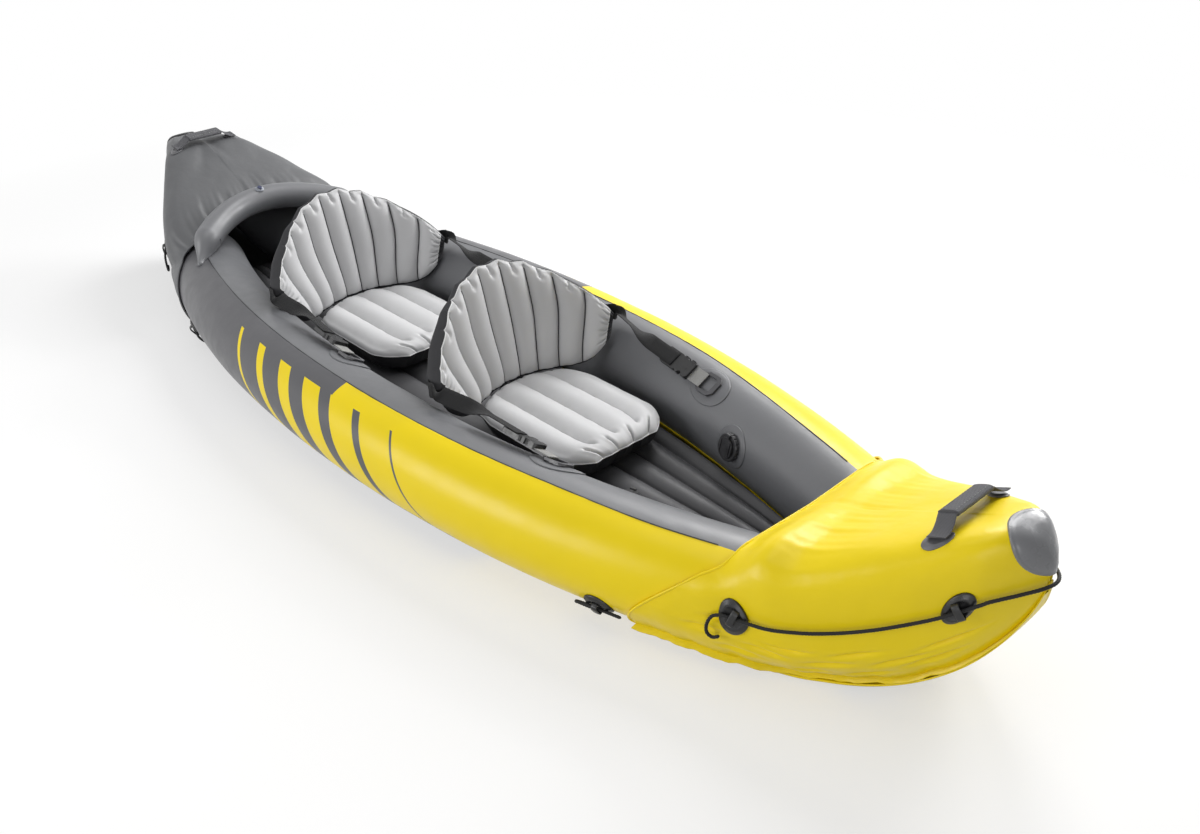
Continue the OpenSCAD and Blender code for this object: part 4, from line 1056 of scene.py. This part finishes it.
def add_cover_hem(bow, end, mat, slot):
    s = np.linspace(0, 2, 161)
    line = cover_skin(bow, edge_x(bow, near_side(s)) + 1.0, s, np.full(161, -0.6))
    dress(round_tube(f"{end}_cover_hem", line, 2.6, mat, 10), "hull", slot)


def add_cover(bow, end, mat, slot):
    rows, cols = 130, 300
    sg, tg = np.meshgrid(np.linspace(0, 2, cols + 1), eased(rows + 1), indexing="xy")
    x = mix(edge_x(bow, near_side(sg)), COVER_END, tg)
    skin = cover_skin(bow, x, sg, cover_folds(bow, x, sg, tg))
    n = nose_round(x[:, 0])
    fins = []
    for column, y_side in ((0, 1), (-1, -1)):
        root = skin[:, column]
        ruffle = 1.2 * wave(x[:, 0] / 17.0, y_side)
        fins.append(root + np.stack([0 * n, y_side * FLANGE_W * n, (-FLANGE_DROP + ruffle) * n], -1))
    grid = np.concatenate([fins[0][:, None], skin, fins[1][:, None]], 1)
    obj = new_object(f"{end}_cover_skin", grid.reshape(-1, 3), grid_faces(rows + 1, cols + 3), mat)
    if np.mean([p.normal.z for p in obj.data.polygons]) < 0:
        obj.data.flip_normals()
    thicken(obj, COVER_T * 0.8)
    flat, area = COVER_CUT[end]
    dress(obj, "hull", slot, f"{end}_cover")
    add_cover_hem(bow, end, mat, slot)


add_cover(True, "bow", BOW_YELLOW, "yellow_vinyl")
add_cover(False, "stern", STERN_VINYL, "grey_vinyl")


# Nose patches, found by a search along rays from inside the nose
def nose_skin(bow, u, v, off):
    eye = np.array([HALF_L - 110, 0.0, NOSE_H])
    axis = unit(np.array([0.82, 0.0, 0.58]))
    up = unit(np.array([-0.58, 0.0, 0.82]))
    d = unit(axis + u[:, None] * up + v[:, None] * np.array([0.0, 1.0, 0.0]))
    low = np.zeros(len(u))
    high = np.full(len(u), 300.0)
    for _ in range(26):
        mid = (low + high) / 2
        p = eye + mid[:, None] * d
        x = np.minimum(p[:, 0], HALF_L - 0.01)
        w = end_y(bow, x) * nose_round(x)
        side = side_z(bow, x)
        above = p[:, 2] > side
        h = np.where(above, top_z(bow, x) - side, side - bottom_z(x))
        e = np.where(above, CROWN_POWER[bow], KEEL_POWER)
        gap = (np.abs(p[:, 1]) / w) ** e + (np.abs(p[:, 2] - side) / h) ** e - 1
        inside = (gap < 0) & (p[:, 0] < HALF_L)
        low = np.where(inside, mid, low)
        high = np.where(inside, high, mid)
    return to_end(bow, eye + (low + off)[:, None] * d)


def add_noses():
    profile = [(0, 6.4), (0.25, 6.5), (0.5, 6.3), (0.74, 5.8), (0.84, 4.9), (0.88, 4.4)]
    profile += [(0.92, 4.8), (0.97, 4.6), (1.0, 3.2), (1.0, 0.0)]
    finishes = {"bow": (NOSE, "grey_vinyl"), "stern": (DARK_VINYL, "dark_vinyl")}
    for end, bow in ENDS:
        mat, slot = finishes[end]
        obj = disc_on(f"{end}_nose_disc", partial(nose_skin, bow), 0.68, 0.68, profile, mat, 72)
        dress(obj, "hull", slot, f"{end}_nose_patch")


add_noses()


# Seats
def cushion_half(t):
    front = np.sqrt(np.maximum(0, 1 - 0.66 * (np.clip(t - 0.72, 0, 1) / 0.28) ** 2))
    return CUSHION_W / 2 * np.where(t > 0.72, front, mix(0.93, 1, smooth(0.0, 0.15, t)))


def cushion_mid(t, v, up):
    y = v * cushion_half(t)
    rear = BACK_WRAP * (2 * y / BACK_FOOT_W) ** 2
    return np.stack([mix(rear, CUSHION_L, t), y, SEAM_Z + up], -1)


def channel_grid(channels, per_channel):
    """Places across a pad, closer together at the weld lines and along the middle of each channel."""
    k = np.arange(channels * per_channel + 1) / per_channel
    return 2 * (k - 0.8 * np.sin(4 * math.pi * k) / (4 * math.pi)) / channels - 1


def in_channel(v, channels):
    """Place across its own channel, from -1 on one weld line to 1 on the next."""
    k = (v + 1) / 2 * channels
    return 2 * (k - np.clip(np.floor(k), 0, channels - 1)) - 1


def cushion_close(t):
    """How far a cushion stands open, from its rear edge to its front."""
    return dome(2 * t - 1, 7)


def cushion_rise(t, v, seat_x):
    """Height of a cushion's top over its seam: crown, channels, slits and puckers."""
    u = in_channel(v, CUSHION_CHANNELS)
    half_channel = CUSHION_W / CUSHION_CHANNELS / 2
    close = cushion_close(t)
    rim = dome(v, 6)
    arc = np.cos(math.pi / 2 * u) ** 0.9
    inner = smooth(1.0, 0.9, np.abs(v))
    weld = smooth(0.0, 0.05, t) * smooth(0.93, 0.84, t) * inner
    crest = rim * (1 - 0.46 * weld * (1 - arc))
    front = np.abs(v) < 0.93
    slit = bell(u * half_channel, 2.6 + 1.4 * smooth(0.95, 0.9, t)) * smooth(0.9, 0.965, t) * front
    lips = bell(np.abs(u * half_channel) - 9.0, 6.0) * smooth(0.86, 0.93, t) * smooth(1.0, 0.97, t)
    line_end = bell((1 - np.abs(u)) * half_channel, 6.5) * bell(t - 0.895, 0.024) * inner
    back_slit = bell((np.abs(u) - 0.45) * half_channel, 3.0) * smooth(0.06, 0.015, t)
    pinch = bell((1 - np.abs(u)) * half_channel, 7.0) * wave(t * 38.0, 3.0 + seat_x) * weld
    side = bell((1 - np.abs(v)) * CUSHION_W / 2, 13.0) * wave(t * 33.0, 1.0) * smooth(0.02, 0.1, t)
    rise = CUSHION_RISE * close * crest + 0.8 * pinch + 1.5 * side * rim + 1.4 * lips
    return rise - 15.0 * slit - 8.0 * line_end - 5.0 * back_slit


def add_cushion_seam(seat, top):
    edge = np.concatenate([top[:, 0], top[-1, 1:], top[-2::-1, -1], top[0, -2::-1]])
    line, _ = evenly(edge, 4.0)
    line[:, 2] += 0.5 * wave(np.arange(len(line)) / 2.2) - 0.6
    dress(round_tube(f"{seat}_cushion_seam", line, 1.5, PIPING, 8), "hull", "seat_vinyl")


def add_cushion(seat, seat_x):
    t, v = np.meshgrid(eased(121), channel_grid(CUSHION_CHANNELS, 36), indexing="ij")
    top = cushion_mid(t, v, np.maximum(0.5, 1.0 + cushion_rise(t, v, seat_x)))
    scallop = (1 - np.abs(in_channel(v, CUSHION_CHANNELS))) * smooth(0.9, 1.0, t) * 3.0
    top[..., 0] -= scallop
    inside = cushion_close(t) * dome(v, 8)
    low = mix(-0.6, FLOOR_H + 0.4 - SEAM_Z, inside)
    foot = cushion_mid(mix(t, np.clip(t, 0.04, 0.96), inside), mix(v, 0.97 * v, inside), low)
    foot[..., 0] -= scallop
    shift = np.array([seat_x + CUSHION_X, 0, 0])
    obj = shell(f"{seat}_seat_cushion", top + shift, foot + shift, [SEAT, BLACK_VINYL])
    slots = np.full(len(obj.data.polygons), 1)
    rear_row = (face_middles(t) < 0.012).ravel()
    slots[: rear_row.size] = rear_row
    obj.data.polygons.foreach_set("material_index", slots)
    dress(obj, "hull", "seat_vinyl", f"{seat}_cushion", f"{seat}_cushion_base")
    add_cushion_seam(seat, top + shift)


def back_line(t):
    return mix(BACK_SOFT_FOOT_W, BACK_W, smooth(0.0, 0.6, t)) / 2


def back_span(v):
    """A backrest's foot and head at one place across it, as shares of its height."""
    return 0.22 * np.abs(v) ** 9, 1.02 - 0.62 * np.abs(v) ** 1.9


def back_mid(v, q):
    foot, head = back_span(v)
    t = mix(foot, head, q)
    y = v * back_line(t)
    up = t * BACK_H + HINGE_R + BACK_CLEAR
    x = BACK_WRAP * v * v - up * math.sin(BACK_LEAN)
    return np.stack([x, y, SEAM_Z + up * math.cos(BACK_LEAN)], -1)


def back_normal(v, q):
    q_in = np.clip(q, 0.05, 0.95)
    v_in = np.clip(v, -0.97, 0.97)
    dv = back_mid(v_in + 0.01, q_in) - back_mid(v_in - 0.01, q_in)
    dq = back_mid(v_in, q_in + 0.01) - back_mid(v_in, q_in - 0.01)
    return unit(np.cross(dv, dq))


# Where the grey front meets the dark side gusset, as a share of the half width
GUSSET_V = 0.965

# Puckers down the two sides of a backrest: place from foot to top, and depth
SIDE_PUCKERS = [(0.17, 0.8), (0.3, 0.6), (0.41, 1.0), (0.55, 0.7), (0.66, 1.0), (0.8, 0.8), (0.91, 0.6)]


# First row of the piping, clear of the side tubes at the joint's limit
PIPING_ROW = 24


def wing_wall(v):
    """1 on the wings, whose top edge is boxed, and 0 on the rounded middle."""
    return smooth(0.42, 0.78, np.abs(v))


def add_back_seam(seat, proud, column, top_row):
    """Piping up one side of a backrest's front, along its top and down the other side."""
    across = np.arange(column, proud.shape[1] - column)
    last = top_row[column]
    port = proud[PIPING_ROW:last, column]
    starboard = proud[PIPING_ROW:last, -1 - column]
    edge = np.concatenate([port, proud[top_row[across], across], starboard[::-1]])
    line, _ = evenly(edge, 3.0)
    for _ in range(4):
        line[1:-1] = (line[:-2] + 2 * line[1:-1] + line[2:]) / 4
    dress(round_tube(f"{seat}_back_seam", line, 1.1, PIPING, 8), f"{seat}_back", "seat_vinyl")


def add_backrest(seat, seat_x):
    share = eased(113)
    q, v = np.meshgrid(share, channel_grid(BACK_CHANNELS, 26), indexing="ij")
    u = in_channel(v, BACK_CHANNELS)
    half_channel = BACK_W / BACK_CHANNELS / 2
    wall = wing_wall(v)
    power = np.where(q > 0.5, mix(6.0, 16.0, wall), 6.0)
    close = dome(2 * q - 1, power)
    rim = dome(v, 40)
    inner = smooth(1.0, 0.93, np.abs(v))
    arc = dome(u, 2)
    weld = smooth(-0.01, 0.03, q) * smooth(0.995, 0.95, q) * inner
    crest = rim * (1 - 0.8 * weld * (1 - arc) - 0.1 * (1 - weld) * (1 - arc))
    in_from_top = (1 - q) * BACK_H
    slit = bell(u * half_channel, 2.2 + 0.07 * in_from_top) * smooth(34.0, 12.0, in_from_top)
    slit = slit * (1 - 0.7 * wall)
    dimple = bell(u * half_channel, 7.0) * bell(in_from_top - 30.0, 9.0)
    tuck = bell((np.abs(u) - 0.5) * half_channel, 4.0) * smooth(0.05, 0.01, q)
    in_from_side = (1 - np.abs(v)) * BACK_W / 2
    folds = np.zeros_like(q)
    for place, depth in SIDE_PUCKERS:
        bend = place + 0.0012 * in_from_side
        folds += depth * bell(q - bend, 0.022) * smooth(26.0 + 14 * depth, 2.0, in_from_side)
    pinch = bell((1 - np.abs(u)) * half_channel, 6.0) * wave(q * 44.0, 4.0 + seat_x) * weld
    rise = BACK_RISE * close * crest - 13.0 * slit - 5.0 * dimple - 5.0 * tuck
    rise = rise - 9.0 * folds * rim + 0.5 * pinch
    n = back_normal(v, q)
    scallop = (1 - np.abs(u)) * smooth(0.85, 1.0, q) * inner * (1 - 0.8 * wall)
    mid = back_mid(v, q * (1 - 0.03 * scallop))
    front = mid + np.maximum(0.6, 1.2 + rise)[..., None] * n
    body = dome(v, 30)
    bulge = 1.2 + BACK_BULGE * close * body + wave(v * 18.0 + q * 4.0, 5.0) * close * body
    bulge = bulge - 4.0 * folds * body
    rear = mid - np.maximum(0.6, bulge)[..., None] * n
    shift = np.array([seat_x, 0, 0])
    obj = shell(f"{seat}_seat_back", front + shift, rear + shift, [SEAT, SEAT_WELD_SHADE, GUSSET])
    face_v = face_middles(v)
    face_q = face_middles(q)
    face_u = in_channel(face_v, BACK_CHANNELS)
    # Faces within 1.4 mm of a weld line, below the top, take the darker weld grey: painted shade in the
    # valleys
    strip = ((1 - np.abs(face_u)) * half_channel < 1.4) & (face_q < 0.94) & (np.abs(face_v) < 0.93)
    column = int(np.argmin(np.abs(v[0] + GUSSET_V)))
    seam_q = 0.993 - 0.014 * wing_wall(v[0])
    gusset = (np.abs(face_v) > -v[0][column]) | (face_q > seam_q[1:]) | (face_q < 0.03)
    index = np.where(gusset, 2, np.where(strip, 1, 0)).ravel()
    slots = np.full(len(obj.data.polygons), 2)
    slots[: index.size] = index
    obj.data.polygons.foreach_set("material_index", slots)
    dress(obj, f"{seat}_back", "seat_vinyl", f"{seat}_backrest", f"{seat}_backrest_skin")
    top_row = np.argmin(np.abs(share[:, None] - seam_q[None]), 0)
    add_back_seam(seat, front + 0.5 * n + shift, column, top_row)


def add_hinge(seat, seat_x):
    y = np.linspace(-34, 34, 60)
    path = np.stack([np.full(60, seat_x), y, np.full(60, SEAM_Z)], -1)
    radius = 5.4 + 0.4 * wave(y / 2.5)
    obj = round_tube(f"{seat}_hinge_roll", path, radius, BLACK_VINYL, 20)
    dress(obj, f"{seat}_back", "dark_vinyl", f"{seat}_hinge_seam")


for seat_name, seat_place in SEATS.items():
    add_cushion(seat_name, seat_place)
    add_backrest(seat_name, seat_place)
    add_hinge(seat_name, seat_place)


# Straps and their fittings
ANCHOR_TURN = 123.0
ANCHOR_X = 442.0
STRAP_LOW = 12.5
STRAP_START = 112.0
WING_X = {"front": 88.3, "rear": 85.2}
STRAP_FREE = 196.0
STRAP_TWIST = 70.0

# Points of a strap's line between which it goes over from the hull to the backrest; their places are taken
# and not used further
STRAP_BLEND = (32, 88)


def tube_normal(side, x, turn):
    a = math.radians(turn)
    n = np.array([0, side * math.cos(a), math.sin(a)])
    p = tube_point(side, np.array([x - 5.0, x + 5.0]), np.array([turn, turn]))
    t = unit(p[1] - p[0])
    return unit(n - (n @ t) * t)


def strap_frame(seat, side):
    seat_x = SEATS[seat]
    x = seat_x + ANCHOR_X
    n = tube_normal(side, x, ANCHOR_TURN)
    o = tube_point(side, np.array(x), np.array(ANCHOR_TURN)) + 4.0 * n
    far = np.array([seat_x + WING_X[seat], side * (BACK_W / 2 - 24), SEAM_Z + 118])
    way = far - o
    length = np.linalg.norm(way)
    way = way / length
    z = unit(n - (n @ way) * way)
    return o, way, np.cross(z, way), z, length


def wing_line(seat, side, height):
    """Line round the outside of a backrest's wing, from its edge to the back, at one height."""
    t = (height - SEAM_Z - HINGE_R) / BACK_H
    v = side * np.linspace(1.012, 0.8, 14)
    foot, head = back_span(v)
    q = (t - foot) / (head - foot)
    out = 4.0 + BACK_BULGE * dome(v, 30)
    return back_mid(v, q) - out[:, None] * back_normal(v, q) + np.array([SEATS[seat], 0, 0])


def add_strap(seat, side, name):
    o, x, y, z, length = strap_frame(seat, side)
    at = np.linspace(STRAP_START, length, 90)
    free = np.clip((at - STRAP_FREE) / (length - STRAP_FREE), 0, 1)
    path = o + at[:, None] * x + (STRAP_LOW + 1.2 - 0.6 * np.sin(math.pi * free))[:, None] * z
    wing = wing_line(seat, side, path[-1][2])
    bow_out = wing[0] - path[-1]
    path = path + free[:, None] * bow_out
    path = np.concatenate([path, wing[1:]])
    free = np.concatenate([free, np.ones(len(wing) - 1)])
    twist = np.radians(-side * STRAP_TWIST) * smooth(0.0, 0.5, free)
    normals = np.cos(twist)[:, None] * z + np.sin(twist)[:, None] * y
    outward = np.gradient(path, axis=0)[:, [1, 0, 2]] * np.array([1.0, -1.0, 0.0]) * side
    normals = mix(normals, -unit(outward), smooth(0.82, 1.0, free)[:, None])
    strap = ribbon(f"{seat}_{name}_webbing", path, normals, WEB_W, 2.2, STRAP_BLACK)
    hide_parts(f"{seat}_{name}_strap")
    start, stop = (tuple(path[i] * MM) for i in STRAP_BLEND)
    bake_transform(strap)
    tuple(start)
    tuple(stop)


def tube_patch(name, place, halves, profile, slot, node):
    """Welded patch on a tube: place is its side, x and turn, halves its reach along and round the tube."""
    side, x, turn = place

    def skin(u, v, off):
        return tube_point(side, x + u, turn + v, off)

    patch = disc_on(name, skin, halves[0], tube_degrees(halves[1]), profile, PATCH)
    dress(patch, "hull", slot, node)


def add_fittings():
    profile = [(0, 3.4), (0.6, 3.4), (0.8, 3.3), (0.88, 2.9), (0.93, 2.5), (0.97, 2.7), (1, 1.6), (1, 0)]
    for seat, seat_x in SEATS.items():
        for side, name in SIDES:
            add_strap(seat, side, name)
            place = (side, seat_x + ANCHOR_X, ANCHOR_TURN)
            patch = f"{seat}_{name}_weld_patch"
            tube_patch(patch, place, (62, 46), profile, "grey_vinyl", "anchor_weld_patches")


add_fittings()


# Rope holders: domed discs with a raised ring and a bridge over the rope; places are x and s on the cover
HOLDER_R = 30.0
BRIDGE_HALF = 15.5
TIP_HOLDER = (HALF_L - 95, 0.385)
HOLDERS = {"bow": [(HALF_L - 430, 0.32), TIP_HOLDER], "stern": [(HALF_L - 370, 0.36), TIP_HOLDER]}


def bridge(name, o, x, n):
    """Moulded bar across the rope."""
    z = unit(n - (n @ x) * x)
    y = np.cross(z, x)
    arc = np.linspace(0, math.pi, 25)
    across = -BRIDGE_HALF * signed_power(np.cos(arc), 0.45)
    high = 3.0 + 13.9 * np.sin(arc) ** 0.4
    path = o + across[:, None] * y + high[:, None] * z
    normals = np.stack([across / BRIDGE_HALF, 0.35 + np.sin(arc)], -1)
    normals = normals[:, :1] * y + normals[:, 1:] * z
    return ribbon(name, path, normals, 13.0, 3.0, PLASTIC)


def tie_holder(profile, mirror):
    """Disc and bridge of the tie cord's holder on the side tube."""

    def skin(u, v, off):
        return tube_point(1, TIE_X + u, TIE_TURN + v, off) * mirror

    disc = disc_on("disc", skin, HOLDER_R, tube_degrees(HOLDER_R), profile, PLASTIC)
    o = tube_point(1, np.array(TIE_X), np.array(TIE_TURN))
    ahead = tube_point(1, np.array([TIE_X - 3.0, TIE_X + 3.0]), np.array([TIE_TURN, TIE_TURN]))
    n = tube_normal(1, TIE_X, TIE_TURN)
    return [disc, bridge("bar", o * mirror, unit(ahead[1] - ahead[0]) * mirror, n * mirror)]


def cover_holder(bow, x, s, profile, mirror):
    """Disc and bridge of one of the grab line's holders on a cover."""

    def skin(u, v, off):
        return cover_skin(bow, x + u, s + v, off) * mirror

    def at(ahead, off):
        return skin(np.full(1, ahead), np.zeros(1), np.full(1, off))[0]

    behind, ahead = cover_point(bow, np.array([x - 1, x + 1]), np.full(2, s))
    stretch = np.linalg.norm(ahead - behind) / 2
    disc = disc_on("disc", skin, HOLDER_R / stretch, HOLDER_R / cover_rate(bow, x, s), profile, PLASTIC)
    o = at(0.0, 0.0)
    return [disc, bridge("bar", o, unit(at(3.0, 0.0) - o), (at(0.0, 10.0) - o) / 10)]


def add_holders():
    profile = [(0, 6.0), (0.3, 6.0), (0.55, 6.1), (0.62, 7.2), (0.7, 7.8), (0.78, 7.2), (0.84, 5.6)]
    profile += [(0.94, 4.6), (0.985, 3.4), (1.0, 2.0), (1.0, -0.8)]
    for end, bow in ENDS:
        pieces = []
        for side, _ in SIDES:
            mirror = np.array([1, side, 1])
            pieces += tie_holder(profile, to_end(bow, mirror))
            for x, s in HOLDERS[end]:
                pieces += cover_holder(bow, x, s, profile, mirror)
        holders = join(f"{end}_rope_fittings", pieces)
        dress(holders, "hull", "black_plastic", f"{end}_rope_holders")


add_holders()


# Carry handles: the grip's height over the cover, and the anchor tabs' place from the middle and radius
GRIP_Z = 23.2
GRIP_HALF = 52.0
TAB_Y = 90.0
TAB_R = 22.0
STITCHES = 13
STITCH_PITCH = 7.7

# A handle's place back from the tip, and its strap's drop from the grip to the tabs
HANDLE_BACK = {"bow": 155, "stern": 225}
HANDLE_DROP = {"bow": 20.7, "stern": 20.0}


def handle_frame(bow, hx):
    """Origin of a handle on its cover's crest, and its axes: along, across and up."""
    step = np.array([hx - 20.0, hx + 20.0])
    heights = top_z(bow, step)
    slope = math.atan2(heights[1] - heights[0], 40.0)
    flip = 1 if bow else -1
    x = np.array([flip * math.cos(slope), 0, math.sin(slope)])
    z = np.array([-flip * math.sin(slope), 0, math.cos(slope)])
    y = np.array([0.0, 1.0, 0.0])
    o = np.array([flip * hx, 0, top_z(bow, np.array([hx]))[0]])
    return o, x, y, z


def add_handle_strap(end, o, x, y, z):
    drop = HANDLE_DROP[end]
    half = [(98, 22.6 - drop), (88, 23.0 - drop), (78, GRIP_Z - drop * 0.86), (68, GRIP_Z - drop * 0.55)]
    half += [(60, GRIP_Z - 4.5), (55, 23.0), (48, GRIP_Z), (24, GRIP_Z), (0, GRIP_Z)]
    points = [(0, a, b) for a, b in half] + [(0, -a, b) for a, b in half[-2::-1]]
    line = spline(points, 10)
    path = o + line[:, 1:2] * y + line[:, 2:3] * z
    d = unit(np.gradient(path, axis=0))
    normals = np.cross(np.broadcast_to(x, d.shape), d) * -1
    normals = normals * np.sign(np.sum(normals * z, -1, keepdims=True) + 1e-6)
    strap = ribbon(f"{end}_handle_webbing", path, normals, WEB_W, 2.4, HANDLE_WEB)
    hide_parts(f"{end}_handle_strap")
    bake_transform(strap)


def add_handle_grip(end, o, x, y, z):
    a = circle(40)
    section_x = 21 * signed_power(np.cos(a), 0.7)
    section_z = 6.5 * signed_power(np.sin(a), 0.8)
    section = section_x[None, :, None] * x + section_z[None, :, None] * z
    at = np.concatenate([[-GRIP_HALF], np.linspace(-GRIP_HALF + 0.6, GRIP_HALF - 0.6, 61), [GRIP_HALF]])
    scale = np.concatenate([[0.86], 1 - 0.012 * np.abs(np.sin(np.linspace(0, 12 * math.pi, 61))), [0.86]])
    ring = o + GRIP_Z * z + at[:, None, None] * y + scale[:, None, None] * section
    grip = lofted(f"{end}_handle_wrap", ring, HANDLE_WEB)
    dress(grip, f"{end}_handle", "dark_webbing", f"{end}_handle_grip")


def add_handle_stitches(end, o, x, y, z):
    stitches = []
    for edge in (-1, 1):
        for k in range(STITCHES):
            mid = o + (GRIP_Z + 6.15) * z + edge * 13.5 * x + (-46 + k * STITCH_PITCH) * y
            run = np.stack([mid + t * y for t in (-2.2, -1.1, 0, 1.1, 2.2)])
            run = run - np.array([0.5, 0.1, 0, 0.1, 0.5])[:, None] * z
            stitches.append(round_tube("stitch", run, 0.55, SILVER_WEB, 6))
    seam = join(f"{end}_handle_stitching", stitches)
    dress(seam, f"{end}_handle", "silver_webbing")


def add_handle_tabs(bow, end, hx):
    s_at = np.linspace(0.63, 0.99, 400)
    reach = cover_point(bow, np.full(400, float(hx)), s_at)[:, 1]
    s_tab = float(np.interp(-TAB_Y, -reach, s_at))
    profile = [(0, 2.2), (0.3, 2.2), (0.45, 2.3), (0.56, 3.4), (0.68, 4.0), (0.8, 3.4)]
    profile += [(0.88, 2.4), (0.97, 2.2), (1, 1.2), (1, -0.6)]
    tabs = []
    for side, _ in SIDES:

        def skin(u, v, off, mirror=np.array([1, side, 1])):
            return cover_skin(bow, hx + u, s_tab + v, off) * mirror

        tabs.append(disc_on("tab", skin, TAB_R, TAB_R / cover_rate(bow, hx, s_tab), profile, TAB, 48))
    dress(join(f"{end}_handle_tabs", tabs), "hull", "dark_webbing", f"{end}_handle_anchors")


def add_handles():
    for end, bow in ENDS:
        hx = HALF_L - HANDLE_BACK[end]
        axes = handle_frame(bow, hx)
        add_handle_strap(end, *axes)
        add_handle_grip(end, *axes)
        add_handle_stitches(end, *axes)
        add_handle_tabs(bow, end, hx)


add_handles()


# Rigid fittings keep their solids
for seat_name in SEATS:
    for _, side_name in SIDES:
        finish_node(f"{seat_name}_{side_name}_tongue", PLASTIC, 0.7)
    finish_node(f"{seat_name}_sockets", PLASTIC, 0.9)
    finish_node(f"{seat_name}_anchor_plates", PLATE, 1.2)
    finish_node(f"{seat_name}_anchor_webbing", SILVER_WEB, 0.4)
for _, side_name in SIDES:
    finish_node(f"{side_name}_valve_ring", VALVE, 0.5)
    finish_node(f"{side_name}_valve_cap", VALVE, 0.6)
finish_node("valve_necks", VALVE, 0.4)
finish_node("pinch_valves", CLEAR_GREY, 0.3)
finish_node("arch_valve_plug", PLUG_BLUE, 0.3)
finish_node("floor_valve_plug", PLUG_BLUE, 0.3)


def add_valve_flanges():
    profile = [(0, 3.4), (0.6, 3.4), (0.76, 3.3), (0.83, 2.7), (0.88, 2.4), (0.95, 2.7), (1, 1.4), (1, 0)]
    for side, name in SIDES:
        place = (side, VALVE_X, VALVE_TURN)
        tube_patch(f"{name}_valve_patch", place, (48, 48), profile, "dark_vinyl", "valve_flanges")


add_valve_flanges()
